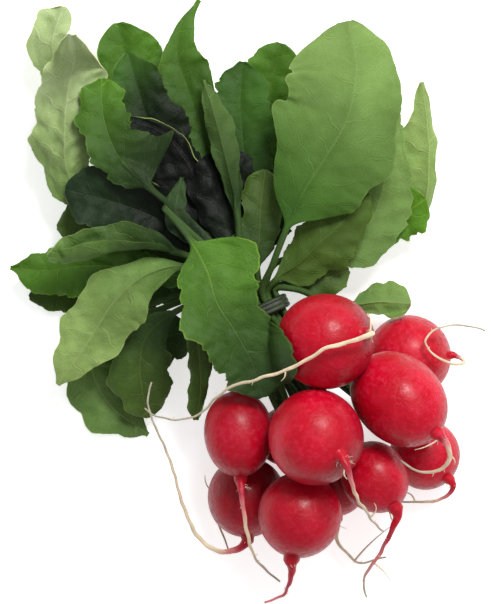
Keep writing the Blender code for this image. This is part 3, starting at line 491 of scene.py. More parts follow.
def leafSheet(leaf, chain, number):
    # a leaf's middle surface on a grid: down the stalk and the midrib, and from margin to margin;
    # each half is an arc square to the midrib, from its slant there to its slant at the margin
    row, place = leaf["at"]
    middle = slotAt(row, place)
    points = [*chain[:-1:2], chain[-1], middle, middle + tie["run"] * tie["clear"]]
    tieEnd = len(points) - 1
    points += [np.array(p, float) for p in leaf["rib"]]
    _, marks, length = smoothPath(points, 3)
    bladeAt = marks[tieEnd + 1 + leaf["start"]]
    inAt, outAt = marks[tieEnd - 2], marks[tieEnd]
    near = max(3, int(round(inAt / blade["step"])))
    mid = max(2, int(round((bladeAt - outAt) / leaf.get("step", blade["step"]))))
    keep = np.concatenate([
        np.linspace(0, inAt, near + 1)[:-1], [inAt], np.linspace(outAt, bladeAt, mid + 1)[:-1],
        bladeAt + (length - bladeAt) * np.array(blade["steps"])])
    s = np.interp(np.linspace(0, len(keep) - 1, (len(keep) - 1) * blade["fine"] + 1),
                  np.arange(len(keep)), keep)
    p, _, _ = smoothPath(points, at=s)
    run = unit(np.gradient(p, s, axis=0))
    side = np.cross(up, run)
    for i in range(1, len(side)):
        if np.dot(side[i], side[i - 1]) < 0:
            side[i] = -side[i]
        if np.linalg.norm(side[i]) < 0.25:
            side[i] = side[i - 1] - run[i] * np.dot(side[i - 1], run[i])
        side[i] = side[i] / np.linalg.norm(side[i])
    side[0] = side[0] / np.linalg.norm(side[0])
    over = unit(np.cross(run, side))
    f = (s - bladeAt) / (length - bladeAt)
    on = bladeStart(f)
    step = np.interp(f, blade["steps"], np.arange(len(blade["steps"])))
    t = np.linspace(-1, 1, 2 * blade["side"] + 1)
    teeth, wave = leaf.get("teeth", 0.07), leaf.get("wave", 0.9)
    sheet = np.repeat(p[:, None], len(t), axis=1)
    thin = stalks["radius"] * 0.95
    halves = []
    for sign, widths, slant, phase in ((1, leaf["left"], leaf["bend"][:2], 0.3 * number),
                                       (-1, leaf["right"], leaf["bend"][2:], 0.7 * number + 1.9)):
        if not leaf.get("point"):
            widths = (*widths[:-1], max(widths[-1], 0.62 * widths[-2]))
        tip = np.sqrt(1 - 0.97 * np.clip((f - 0.84) / 0.16, 0, 1) ** 2)
        cuts = 1 + teeth * np.cos(np.pi * step + (phase > 2)) * ease(f / 0.2)
        half = np.maximum(steady(widths, f) * tip, 0.8) * cuts
        half = np.where(f < 0, thin, thin * (1 - on) + half * on)
        halves.append(half)
        a0, a1 = np.radians(slant)
        turn = (a1 - a0 + 1e-4) * on
        cols = np.where(t * sign > 0)[0]
        w = np.abs(t[cols])[None]
        k, b, h = turn[:, None], (a0 * on)[:, None], half[:, None]
        k = np.where(np.abs(k) < 1e-5, 1e-5, k)
        out = h * (np.sin(b + k * w) - np.sin(b)) / k
        rise = h * (np.cos(b) - np.cos(b + k * w)) / k
        rise = rise + wave * w**2 * (np.sin(step * 1.9 + phase) * ease(f / 0.3))[:, None]
        sheet[:, cols] += sign * out[..., None] * side[:, None] + rise[..., None] * over[:, None]
    thick = halfThickness(np.abs(t)[None], f[:, None], on[:, None])
    layLeaf(sheet, thick, s, f, outAt, leaf)
    return dict(sheet=sheet, thick=thick, run=run, s=s, f=f, bladeAt=bladeAt, length=length,
                halves=halves)


def bladeStart(f):
    # 0 on the stalk and 1 on the blade, eased over the blade's first tenth
    return ease(f / 0.12 + 0.15)


def halfThickness(w, f, on):
    # a round stalk that becomes a thin blade with a midrib, thinner towards the tip
    rounded = stalks["radius"] * np.sqrt(1 - (0.95 * w) ** 2)
    rib = np.interp(f, [0, 1], blade["rib"])
    flat = blade["edge"] / 2 + (blade["thickness"] - blade["edge"]) / 2 * (1 - w)
    flat = flat + (rib - flat) * np.clip(1 - w / 0.17, 0, 1)
    return rounded * (1 - on) + flat * on


def layLeaf(sheet, thick, s, f, outAt, leaf):
    # raises a leaf, past the tie, over what is laid, by a soft maximum of 0 and what it needs
    past = ease((s - outAt) / laying["pastTie"])
    soft = spread(ground, 2, 2)
    x, y, z = sheet[..., 0], sheet[..., 1], sheet[..., 2]
    need = height(soft, x, y) + thick * laying["spare"] + blade["clearance"] - z
    raised = softly(need, laying["soft"])
    near = np.abs(np.linspace(-1, 1, sheet.shape[1])) < laying["middle"]
    stalk = (height(ground, x, y) + stalks["radius"] + blade["clearance"] - z)[:, near].max(axis=1)
    stalk = softly(highest(stalk, 2), laying["stalkSoft"])
    if leaf.get("stiff"):
        whole = highest(raised.max(axis=1), 2)
        for _ in range(laying["stiffRounds"]):
            whole[1:-1] = blend(whole[:-2], whole[1:-1], whole[2:])
        raised = np.repeat(whole[:, None], sheet.shape[1], axis=1)
    on = ease(f / 0.12 + 0.5)[:, None]
    sheet[..., 2] += (stalk[:, None] * (1 - on) + raised * on) * past[:, None]
    if leaf.get("low"):
        far = (ease((f + 0.6) / 0.9) * past)[:, None]
        low = (sheet[..., 2] - thick)[::blade["fine"], ::6][f[::blade["fine"]] > 0.15].min()
        sheet[..., 2] -= far * low


def coarseFaces(leaf, made):
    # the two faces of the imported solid, which later leaves are laid on
    sheet, run = made["sheet"], made["run"]
    normal = unit(np.cross(np.gradient(sheet, axis=1), np.gradient(sheet, axis=0)))
    flip = np.sign((normal[:, blade["side"]] * np.cross(run, np.cross(up, run))).sum(axis=1))
    normal = normal * flip[len(flip) // 2]
    cols = np.arange(0, 2 * blade["side"] + 1, 4 if leaf.get("wide") else 6)
    offset = normal * made["thick"][..., None]
    return (sheet + offset)[::blade["fine"], cols], (sheet - offset)[::blade["fine"], cols]


def dressMesh(mesh, corners, plan=None, tint=None):
    # plan is a UV pair and tint four channels, one for each point; corners lists the faces' points
    if plan is not None:
        layer = mesh.uv_layers.new(name="plan")
        layer.data.foreach_set("uv", plan[corners].astype(np.float32).ravel())
        layer = mesh.color_attributes.new(name="tint", type="FLOAT_COLOR", domain="POINT")
        layer.data.foreach_set("color", tint.astype(np.float32).ravel())
    mesh.shade_smooth()
    obj = bpy.data.objects.new(mesh.name, mesh)
    bpy.context.scene.collection.objects.link(obj)
    return obj


def newMesh(name, points, quads, plan=None, tint=None, second=None):
    # a mesh of four-sided faces from points in layout millimetres
    mesh = bpy.data.meshes.new(name)
    co = ((points + shift) * mm).astype(np.float32)
    quads = np.asarray(quads, np.int32)
    mesh.vertices.add(len(co))
    mesh.vertices.foreach_set("co", co.ravel())
    mesh.loops.add(quads.size)
    mesh.loops.foreach_set("vertex_index", quads.ravel())
    mesh.polygons.add(len(quads))
    mesh.polygons.foreach_set("loop_start", np.arange(0, quads.size, 4, dtype=np.int32))
    mesh.update(calc_edges=True)
    mesh.validate()
    if second is not None:
        mesh.polygons.foreach_set("material_index", second.astype(np.int32))
    return dressMesh(mesh, quads.ravel(), plan, tint)


def newClosed(name, points, faces, plan, tint):
    # a closed shell of faces with any number of corners
    mesh = bpy.data.meshes.new(name)
    mesh.from_pydata(((points + shift) * mm).tolist(), [], faces)
    corners = np.empty(len(mesh.loops), np.int32)
    mesh.loops.foreach_get("vertex_index", corners)
    return dressMesh(mesh, corners, plan, np.concatenate([tint, np.ones((len(tint), 1))], axis=1))


def outward(points, quads):
    # turns the faces round if the signed volume of the shell is negative
    a, b, c, d = [points[quads[:, k]] for k in range(4)]
    volume = (np.cross(a, b) * c).sum() + (np.cross(a, c) * d).sum()
    return quads if volume > 0 else quads[:, ::-1]


def gridQuads(rows, cols, closed):
    # the four corners of each cell of a grid, wrapped round if it is closed
    i, j = np.meshgrid(np.arange(rows - 1), np.arange(cols if closed else cols - 1), indexing="ij")
    k = (j + 1) % cols
    corners = [i * cols + j, i * cols + k, (i + 1) * cols + k, (i + 1) * cols + j]
    return np.stack(corners, -1).reshape(-1, 4)


class Wire:
    # a node's output: sums, differences, products and quotients of it add Math nodes
    def __init__(self, tree, socket=None):
        self.tree, self.socket = tree, socket

    def make(self, kind, settings=None, values=None, out=0):
        # any node: its settings first, then the values or links of its sockets
        node = self.tree.nodes.new(kind)
        for key, value in (settings or {}).items():
            setattr(node, key, value)
        for key, value in (values or {}).items():
            if isinstance(value, Wire):
                self.tree.links.new(value.socket, node.inputs[key])
            else:
                node.inputs[key].default_value = value
        return Wire(self.tree, node.outputs[out])

    def other(self, name):
        return Wire(self.tree, self.socket.node.outputs[name])

    def maths(self, operation, *terms):
        return self.make("ShaderNodeMath", dict(operation=operation), dict(enumerate(terms)))

    def __add__(self, o):
        return self.maths("ADD", self, o)

    __radd__ = __add__

    def __sub__(self, o):
        return self.maths("SUBTRACT", self, o)

    def __rsub__(self, o):
        return self.maths("SUBTRACT", o, self)

    def __mul__(self, o):
        return self.maths("MULTIPLY", self, o)

    __rmul__ = __mul__

    def __truediv__(self, o):
        return self.maths("DIVIDE", self, o)

    def size(self):
        return self.maths("ABSOLUTE", self)

    def part(self):
        return self.maths("FRACT", self)

    def over(self, o):
        return self.maths("GREATER_THAN", self, o)

    def most(self, o):
        return self.maths("MAXIMUM", self, o)

    def between(self, low, high, a=0.0, b=1.0):
        # a below low, b above high, eased between
        return self.make("ShaderNodeMapRange", dict(interpolation_type="SMOOTHSTEP"),
                         {"Value": self, "From Min": low, "From Max": high, "To Min": a, "To Max": b})

    def paint(self, colourA, colourB, factor, how="MIX"):
        return self.make("ShaderNodeMix", dict(data_type="RGBA", blend_type=how),
                         {0: factor, 6: colourA, 7: colourB}, 2)

    def tinted(self, colour):
        return self.paint(self, colour, 1.0, "MULTIPLY")

    def noise(self, vector, scale, detail=2.0, rough=0.5):
        return self.make("ShaderNodeTexNoise", None,
                         {"Vector": vector, "Scale": scale, "Detail": detail, "Roughness": rough})

    def cells(self, vector, scale):
        return self.make("ShaderNodeTexVoronoi", dict(feature="DISTANCE_TO_EDGE"),
                         {"Vector": vector, "Scale": scale}, "Distance")


def newSkin(name):
    # a material with only its shader left, and a wire to build from
    skin = bpy.data.materials.new(name)
    skin.use_nodes = True
    tree = skin.node_tree
    return skin, Wire(tree), tree.nodes["Principled BSDF"]


def join(wire, shader, socket):
    wire.tree.links.new(wire.socket, shader.inputs[socket])


def emboss(relief, shader, strength, depth):
    # bumps the surface by the relief, to the depth in metres
    bump = {"Strength": strength, "Distance": depth, "Height": relief}
    join(relief.make("ShaderNodeBump", None, bump, "Normal"), shader, "Normal")


def setValues(shader, values):
    for name, value in values.items():
        shader.inputs[name].default_value = value


def rgb(red, green, blue):
    # a colour as seen on a screen, 0 to 255, made linear
    c = np.array([red, green, blue]) / 255.0
    c = np.where(c > 0.04045, ((c + 0.055) / 1.055) ** 2.4, c / 12.92)
    return (*c.tolist(), 1.0)


# Leaf skins. A leaf's plan holds millimetres along its midrib and out from it; its tint holds its own
# colour with the painted shade of the hollow and its lit rim, and in the fourth channel how far out
# towards the margin a point lies.
upperFace = dict(dark=(0.6, 0.66, 0.5, 1), vein=(1.9, 1.55, 1.8, 1), veinShow=0.5, crease=0.12,
                 rough=0.52, emboss=-0.45, net=0.22, specular=0.22, rim=(2.6, 1.9, 2.2, 1), rimShow=0.6)
underFace = dict(dark=(0.66, 0.72, 0.52, 1), vein=(1.35, 1.2, 1.35, 1), veinShow=0.5, crease=0.2,
                 rough=0.62, emboss=0.16, net=0.3, specular=0.18, rim=(1.6, 1.3, 1.3, 1), rimShow=0.4)
leafVeins = dict(gap=8.5, lean=0.45, curl=0.012, wobble=0.6)
leafBump = dict(strength=0.8, depth=0.0004)
# How fine each pattern of a leaf is, per millimetre.
leafGrain = dict(wander=0.09, net=0.3, fineNet=0.85, blotch=0.07, pores=1.6, broken=0.22,
                 fading=0.13, swell=0.5)


def leafSkin(name, face):
    # veins from sawtooth waves in the plan, finer nets of cells between them, and noises over both
    skin, w, shader = newSkin(name)
    grain = leafGrain
    plan = w.make("ShaderNodeUVMap", dict(uv_map="plan"))
    axes = w.make("ShaderNodeSeparateXYZ", None, {"Vector": plan})
    u, v = axes, axes.other("Y")
    tint = w.make("ShaderNodeAttribute", dict(attribute_name="tint"))
    ownWithShade, margin = tint.other("Color"), tint.other("Alpha")
    out = v.size()
    wander = w.noise(plan, grain["wander"]) - 0.5
    # laterals leave the midrib in turn, lean forward and curl to the tip
    q = (u - out * leafVeins["lean"] - out * out * leafVeins["curl"]) / leafVeins["gap"]
    q = q + v.over(0.0) * 0.5 + wander * leafVeins["wobble"] * 2
    side = (1 - ((q.part() - 0.5).size() * 2)) * leafVeins["gap"] * 0.42
    lateral = (side + out * 0.006).between(0.05, 0.3, 1.0, 0.0)
    groove = (side - 0.45).size().between(0.05, 0.3, 1.0, 0.0)
    middle = (out + u * 0.005).between(0.2, 0.62, 1.0, 0.0)
    fine = w.cells(plan, grain["net"]).between(0.0, 0.06, 1.0, 0.0)
    finest = w.cells(plan, grain["fineNet"]).between(0.0, 0.12, 1.0, 0.0)
    onStalk = u.between(-9.0, 3.0, 1.0, 0.0)
    veins = lateral.most(fine * face["net"]).most(finest * face["net"] * 0.5)
    blotch = w.noise(plan, grain["blotch"], 3.0, 0.6).between(0.3, 0.7)
    pores = w.noise(plan, grain["pores"], 3.0, 0.65).between(0.3, 0.7)
    # a darker tone of the leaf's own green, for its mottle and for painted shade in the creases
    toneAndShade = ownWithShade.tinted(face["dark"])
    colour = w.paint(toneAndShade, ownWithShade, blotch * 0.55 + pores * 0.45)
    # painted shade in the grooves beside the laterals, broken up by noise
    broken = w.noise(plan, grain["broken"]).between(0.42, 0.6)
    colour = w.paint(colour, toneAndShade, groove * broken * face["crease"] * 2)
    bright = ownWithShade.tinted(face["vein"])
    fading = w.noise(plan, grain["fading"]).between(0.35, 0.62, 0.35, 1.0)
    colour = w.paint(colour, bright, (veins * fading).most(middle) * face["veinShow"])
    rim = ownWithShade.tinted(face["rim"])
    colour = w.paint(colour, rim, margin.between(0.955, 0.995) * face["rimShow"])
    colour = w.paint(colour, ownWithShade, onStalk)
    join(colour, shader, "Base Color")
    join(pores * 0.14 + blotch * 0.05 + (face["rough"] - 0.09), shader, "Roughness")
    setValues(shader, {"Specular IOR Level": face["specular"]})
    relief = veins.most(middle) * face["emboss"] - groove * broken * face["crease"] + pores * 0.2
    relief = relief + w.noise(plan, grain["swell"], 3.0) * 0.5
    emboss(relief, shader, leafBump["strength"], leafBump["depth"])
    return skin


# The greens of the leaves, from the darkest to the palest. The darkest is a dark upper side deepened by
# painted shade, for the leaves that lie in shade inside the bunch.
greens = dict(shadedDark=(32, 52, 28), forest=(46, 72, 30), moss=(60, 86, 38), grass=(62, 102, 32),
              olive=(78, 104, 40), fresh=(82, 126, 34), lime=(88, 138, 24), sage=(104, 136, 70),
              pale=(128, 158, 86), cream=(156, 182, 108), silk=(188, 206, 152))
# What each leaf looks like: its green at the base and at the tip, whether its pale under side is
# up, how toothed (saw), how crumpled, how much the painted shade of the hollow darkens it, how lit
# its rim is, and which half is turned pale side up.
leafLooks = [
    dict(base="moss", tip="moss", saw=0.8),
    dict(base="sage", tip="sage", saw=0.4),
    dict(base="moss", tip="olive", saw=1.0),
    dict(base="grass", tip="fresh", saw=0.2),
    dict(base="shadedDark", tip="fresh", saw=1.0),
    dict(base="pale", tip="cream", pale=True, saw=0.3),
    dict(base="forest", tip="olive", saw=0.5),
    dict(base="moss", tip="olive", saw=1.0),
    dict(base="pale", tip="silk", pale=True, saw=0.5, crumple=2.0),
    dict(base="grass", tip="fresh", saw=0.3, hollowShade=0.4),
    dict(base="shadedDark", tip="grass", saw=1.2, turned=1),
    dict(base="fresh", tip="lime", saw=1.1),
    dict(base="sage", tip="pale", pale=True, saw=0.9),
    dict(base="grass", tip="fresh", saw=0.9),
    dict(base="shadedDark", tip="grass", saw=0.8, hollowShade=1.0),
    dict(base="shadedDark", tip="shadedDark", saw=0.4, hollowShade=1.0, rim=0.75),
    dict(base="shadedDark", tip="shadedDark", saw=0.3, hollowShade=1.0),
    dict(base="forest", tip="olive", saw=0.8),
    dict(base="moss", tip="olive", saw=0.6),
    dict(base="olive", tip="olive", saw=0.5),
    dict(base="pale", tip="silk", pale=True, saw=0.7, crumple=2.2),
    dict(base="shadedDark", tip="shadedDark", saw=0.5, hollowShade=0.9),
    dict(base="forest", tip="fresh", saw=1.1, hollowShade=0.5),
    dict(base="forest", tip="sage", pale=True, saw=0.5, hollowShade=0.3),
    dict(base="olive", tip="olive", pale=True, saw=0.8),
    dict(base="sage", tip="pale", pale=True, saw=0.2, crumple=1.4),
    dict(base="sage", tip="cream", pale=True, saw=0.25),
    dict(base="forest", tip="sage", saw=0.25, hollowShade=0.3),
    dict(base="shadedDark", tip="forest", saw=0.3),
    dict(base="grass", tip="pale", pale=True, saw=0.2, crumple=0.35),
    dict(base="fresh", tip="forest", saw=1.1)]
leafShape = dict(grain=0.75, quilt=0.42, crinkle=0.3, ruffle=0.9, tooth=1.47, toothGap=5.2,
                 shell=0.22, wander=0.07)
# The hollow between the leaves, where painted shade darkens them: its middle, its reach each way and
# how dark the painted shade is.
hollowShade = dict(x=-20.0, y=52.0, wide=31.0, long=45.0, dark=0.9)


def green(name):
    # a named green, made linear
    return np.array(rgb(*greens[name])[:3])


def leafTint(look, number, u, d, w, f, on, place):
    # the leaf's colour from base to tip, uneven by slow waves and up to a tenth darker within 6 mm of
    # the midrib;
    # painted shade darkens it near the hollow's middle by 1.15 less the distance squared, eased; a lit
    # rim goes over the outer twentieth
    base, tip, stalk = green(look["base"]), green(look["tip"]), green("moss")
    along = (ease(np.clip(f, 0, 1)) + 0 * d)[..., None]
    colour = stalk + (base + (tip - base) * along - stalk) * ease(f / 0.1 + 0.6)[..., None]
    toneAndShade = 1 + 0.1 * ripple(u, d, 30.0, number + 5) - 0.1 * (1 - ease(np.abs(d) / 6.0)) * on
    across = (place[..., 0] - hollowShade["x"]) / hollowShade["wide"]
    along = (place[..., 1] - hollowShade["y"]) / hollowShade["long"]
    near = ease(1.15 - (across ** 2 + along ** 2))
    toneAndShade = toneAndShade * (1 - hollowShade["dark"] * look.get("hollowShade", 0.0) * near)
    colour = colour * toneAndShade[..., None]
    edge = (look.get("rim", 0.0) * ease((w - 0.955) / 0.04) * on)[..., None]
    return np.clip(colour + (green("pale") - colour) * edge, 0.002, 1.0)


def leafPiece(made, number):
    # the middle surface read on a finer grid, then toothed, swollen and ruffled, and given its
    # two faces
    look = leafLooks[number]
    pale = bool(look.get("pale"))
    bladeLong = made["length"] - made["bladeAt"]
    widest = max(h.max() for h in made["halves"])
    rowCount = int(np.clip(bladeLong / leafShape["grain"], 20, 190))
    sideCount = int(np.clip(widest / leafShape["grain"], 8, 34))
    s = np.concatenate([np.linspace(0, made["bladeAt"], int(made["bladeAt"] / 1.8) + 2)[:-1],
                        np.linspace(made["bladeAt"], made["length"], rowCount)])
    rows = np.interp(s, made["s"], np.arange(len(made["s"])))
    t = np.linspace(-1, 1, 2 * sideCount + 1)
    mid = between(made["sheet"], rows, (t + 1) * blade["side"])
    f = ((s - made["bladeAt"]) / bladeLong)[:, None]
    on = bladeStart(f)
    w = np.abs(t)[None]
    half = np.where(t[None] > 0, *[np.interp(s, made["s"], h)[:, None] for h in made["halves"]])
    u = (s - made["bladeAt"])[:, None] + 0 * w
    d = t[None] * half
    narrow = np.clip(half / 8.0, 0.15, 1.0)
    grow = ease(f / 0.2)
    slow = sway(u, 26.0, number + 4 + 3 * (t[None] > 0))
    outline = 1 + leafShape["wander"] * slow * w * grow
    rib = mid[:, sideCount:sideCount + 1]
    mid = rib + (mid - rib) * outline[..., None]
    mid = mid + marginTeeth(mid, t, u, w, number, look["saw"]) * (grow * narrow)[..., None]
    normal = unit(np.cross(np.gradient(mid, axis=1), np.gradient(mid, axis=0)))
    run = unit(np.gradient(mid[:, sideCount], axis=0))
    upward = np.cross(run, np.cross(up, run))
    middleRow = int(len(s) - rowCount / 2)
    if (normal[middleRow, sideCount] * upward[middleRow]).sum() < 0:
        normal = -normal
    swell, ruffle = leafRelief(u, d, w, t, number, look.get("crumple", 1.0))
    swell = swell * (-1 if pale else 1)
    mid = mid + normal * ((swell + ruffle * narrow * ease(f / 0.25)) * on)[..., None]
    top, low = shellSides(w, f, on, pale)
    faces = [mid + normal * top[..., None], (mid - normal * low[..., None])[:, ::-1]]
    points = np.concatenate(faces, axis=1)
    points[..., 2] = np.maximum(points[..., 2], 0.05)
    n, m = points.shape[:2]
    cols = m // 2
    faceCol = np.tile(np.arange(m), n - 1)
    isUpper = (faceCol < cols) != pale
    if look.get("turned"):
        isUpper &= (faceCol >= cols) | (np.sign(faceCol - sideCount) != -look["turned"])
    j = np.arange(cols - 1)
    caps = [np.stack([base + j, base + j + 1, base + m - 2 - j, base + m - 1 - j], -1)
            for base in (0, (n - 1) * m)]
    quads = np.concatenate([gridQuads(n, m, True), caps[0][:, ::-1], caps[1]])
    second = np.concatenate([~isUpper, np.zeros(2 * (cols - 1), bool)])
    flat = points.reshape(-1, 3)
    tint = leafTint(look, number, u, d, w, f, on, mid)
    tint = np.concatenate([tint, ((w + 0 * u) * on)[..., None]], axis=2)
    plan, tint = [np.concatenate([k, k[:, ::-1]], axis=1).reshape(len(flat), -1)
                  for k in (np.stack([u, d], -1), tint)]
    obj = newMesh(f"freshLeaf{number + 1:02d}", flat, outward(flat, quads), plan, tint, second)
    obj.data.set_sharp_from_angle(angle=1.1)
    obj.data.materials.append(upperSkin)
    obj.data.materials.append(underSkin)
    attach(obj, "root")
    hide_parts(f"leaf_{number + 1:02d}")


def marginTeeth(mid, t, u, w, number, amount):
    # each tooth rises along the 0.7th power of its gap and drops back; the push grows with the
    # fifth power of the distance out
    edge = unit(mid[:, [-1, 0]] - mid[:, [-3, 2]])
    edge = np.where(t[None, :, None] > 0, edge[:, :1], edge[:, 1:])
    gap = leafShape["toothGap"]
    saw = (u / gap + 0.35 * sway(u, 17.0, number) + (t[None] > 0) * 0.4) % 1.0
    bite = (saw ** 0.7 - ease((saw - 0.82) / 0.18)) - 0.35
    small = (u / gap * 2.7 + 0.5 * sway(u, 9.0, number + 2)) % 1.0 - 0.5
    uneven = sway(u, 14.0, number + 3 + (t[None] > 0))
    bite = amount * (bite + 0.3 * small) + (0.2 + 0.4 * amount) * uneven
    return edge * (leafShape["tooth"] * bite * w**5)[..., None]


def leafRelief(u, d, w, t, number, crumple):
    # swellings between the laterals, as the 0.8th power of a sine; crinkles away from the midrib;
    # ruffles that grow with the square of the distance out
    ad = np.abs(d)
    q = (u - ad * leafVeins["lean"] - ad**2 * leafVeins["curl"]) / leafVeins["gap"] + (d > 0) * 0.5
    swell = np.abs(np.sin(np.pi * q)) ** 0.8 * ease(ad / 3.0) * ease((1 - w) / 0.25)
    swell = swell * leafShape["quilt"]
    crease = ripple(u, d, 9.0, number) * leafShape["crinkle"] * ease(ad / 5.0)
    crease = crease + ripple(u, d, 4.2, number + 11) * 0.1
    side = 2 * (t[None] > 0)
    ruffle = 0.6 * sway(u, 15.0, number + 7 + side) + 0.4 * sway(u, 6.5, number + 1 + side)
    ruffle = leafShape["ruffle"] * w**2 * ruffle
    return swell * crumple, crease * crumple + ruffle


def shellSides(w, f, on, pale):
    # half thickness of either face: the rib stands out on the under side
    rib = np.interp(f, [0, 1], [0.95, 0.3])
    ridge = leafShape["shell"] + (rib - leafShape["shell"]) * np.clip(1 - w / 0.1, 0, 1) ** 1.5
    plain = leafShape["shell"] + 0 * w + 0 * f
    rounded = stalks["radius"] * np.sqrt(1 - (0.97 * w) ** 2)
    sides = [rounded * (1 - on) + k * on for k in (plain, ridge)]
    return sides[::-1] if pale else sides


# Bulbs
bulbShape = dict(around=72, along=72, lump=0.02, meet=2.2, flare=0.45, flareReach=3.0, rootStep=0.8,
                 rootWander=0.28, slim=0.68, shoulder=2.2, shoulderReach=0.75)
# under is the painted shade that the red darkens to on the bulbs' lower sides.
bulbSkin = dict(deep=rgb(176, 2, 24), flesh=rgb(208, 4, 40), bright=rgb(232, 66, 100),
                under=rgb(84, 1, 12), pink=rgb(214, 122, 124), rust=rgb(176, 34, 56),
                cream=rgb(228, 208, 176), grey=rgb(176, 170, 150),
                rough=0.42, specular=0.2, coat=0.16, coatRough=0.26, bump=0.75, depth=0.0006)
# How fine each pattern of a radish is, per metre, but for the streaks, which run along its plan.
bulbGrain = dict(cloud=80.0, mottle=520.0, dapple=300.0, swell=130.0, streak=2.6,
                 stretch=(3.0, 0.16, 1.0))
# Painted shade: how bright each bulb's red is, 0.95 unless given, then where along its root the red has
# gone.
bulbShade = {1: 0.9, 2: 1.0, 5: 0.7, 7: 0.8, 8: 0.7, 9: 0.55, 10: 0.65, 11: 0.65}
rootBlush = {1: 0.03, 2: 0.05, 3: 0.16, 4: 0.3, 5: 0.3, 6: 0.4, 7: 0.7, 8: 1.2, 9: 0.12, 10: 0.12,
             11: 0.1}
# Fine hairs at each root's start and along it. Each stray rootlet leaves its root at a share of
# the root's length, at an angle round it, and bends towards the root's end as it goes.
tufts = {1: 3, 2: 3, 3: 6, 4: 12, 5: 4, 6: 4, 7: 4, 8: 3}
hairs = dict(thick=0.18, tip=0.06, sides=5, steps=9, reach=3.6, gap=7.0, curl=0.45, trail=0.35)
# A hair's tint: how far the red has gone, how far down the root, how lit.
hairTint = (0.95, 0.0, 1.0)
strays = {
    1: [dict(at=0.03, turn=190, reach=10, bend=-0.8), dict(at=0.01, turn=170, reach=4, bend=2.2),
        dict(at=0.38, turn=180, reach=4, bend=0.8)],
    3: [dict(at=0.04, turn=10, reach=10, bend=-0.3), dict(at=0.3, turn=180, reach=3.5, bend=1.0)],
    4: [dict(at=0.75, turn=180, reach=6, bend=-1.0), dict(at=0.1, turn=0, reach=4, bend=1.2)],
    6: [dict(at=0.8, turn=0, reach=6.5, bend=1.0)],
    7: [dict(at=0.12, turn=0, reach=4.5, bend=-0.8), dict(at=0.6, turn=180, reach=9, bend=0.3)],
    10: [dict(at=0.6, turn=180, reach=19, bend=0.15)],
    11: [dict(at=0.5, turn=20, reach=8, bend=-0.7)],
}


def hairTube(points, thick, tip, lowest):
    # a thin tube through the points, none lower than lowest, its radius falling evenly to its tip
    points[:, 2] = np.maximum(points[:, 2], lowest)
    line, _, _ = smoothPath(points, hairs["steps"])
    return tube(line, np.linspace(thick, tip, hairs["steps"]), hairs["sides"])


def rootHairs(number, line):
    # curled hairs round the root's start, short ones along it, then the strays; a hair goes out by
    # its reach and sideways by the sine of its turn
    chance = np.random.default_rng(40 + number)
    run = unit(np.gradient(line, axis=0))
    made = []
    alongCount = int(len(line) * bulbShape["rootStep"] / hairs["gap"])
    starts = [(chance.integers(0, 4), chance.uniform(0.35, 1.0)) for _ in range(tufts.get(number, 1))]
    starts += [(chance.integers(8, len(line) - 8), chance.uniform(0.15, 0.45))
               for _ in range(alongCount)]
    for index, size in starts:
        t = run[index]
        side = unit(np.cross(t, chance.normal(size=3)))
        over = np.cross(t, side)
        reach = hairs["reach"] * size
        u = np.linspace(0, 1, 5)[:, None]
        turn = u * chance.uniform(0.6, 2.6) * chance.choice([-1, 1])
        path = line[index] + reach * (u * side + hairs["curl"] * np.sin(turn) * over
                                      + hairs["trail"] * u**2 * t)
        made.append(hairTube(path, hairs["thick"], hairs["tip"], 0.3))
    for stray in strays.get(number, []):
        index = int(stray["at"] * (len(line) - 1))
        t, turn = run[index], np.radians(stray["turn"])
        side = unit(np.cross(t, up))
        out = side * np.cos(turn) + np.cross(side, t) * np.sin(turn)
        u = np.linspace(0, 1, 7)[:, None]
        bend = stray["bend"] * u
        path = line[index] + stray["reach"] * u * (np.cos(bend) * out + np.sin(bend) * t)
        made.append(hairTube(path, hairs["thick"] * 2.2, hairs["tip"] * 2, 0.4))
    return made


def capped(rings, base):
    # the faces of a closed tube whose points start at base
    n, m = rings.shape[:2]
    end = base + np.arange(m)
    return (gridQuads(n, m, True) + base).tolist() + [end[::-1].tolist(), (end + (n - 1) * m).tolist()]


def rootPath(line, length, number):
    # the root's line at even steps, wandering sideways by slow waves that fade in from its start
    count = max(24, int(length / bulbShape["rootStep"]))
    root, _, length = smoothPath(line[::3], count)
    far = np.linspace(0, length, count)
    run = unit(np.gradient(root, axis=0))
    side = unit(np.cross(run, up))
    wander = bulbShape["rootWander"] * ease(far / 12.0)
    root = root + side * (wander * sway(far, 9.0, number))[:, None]
    root[:, 2] += wander * 0.6 * sway(far, 6.0, number + 3)
    return root, far, length


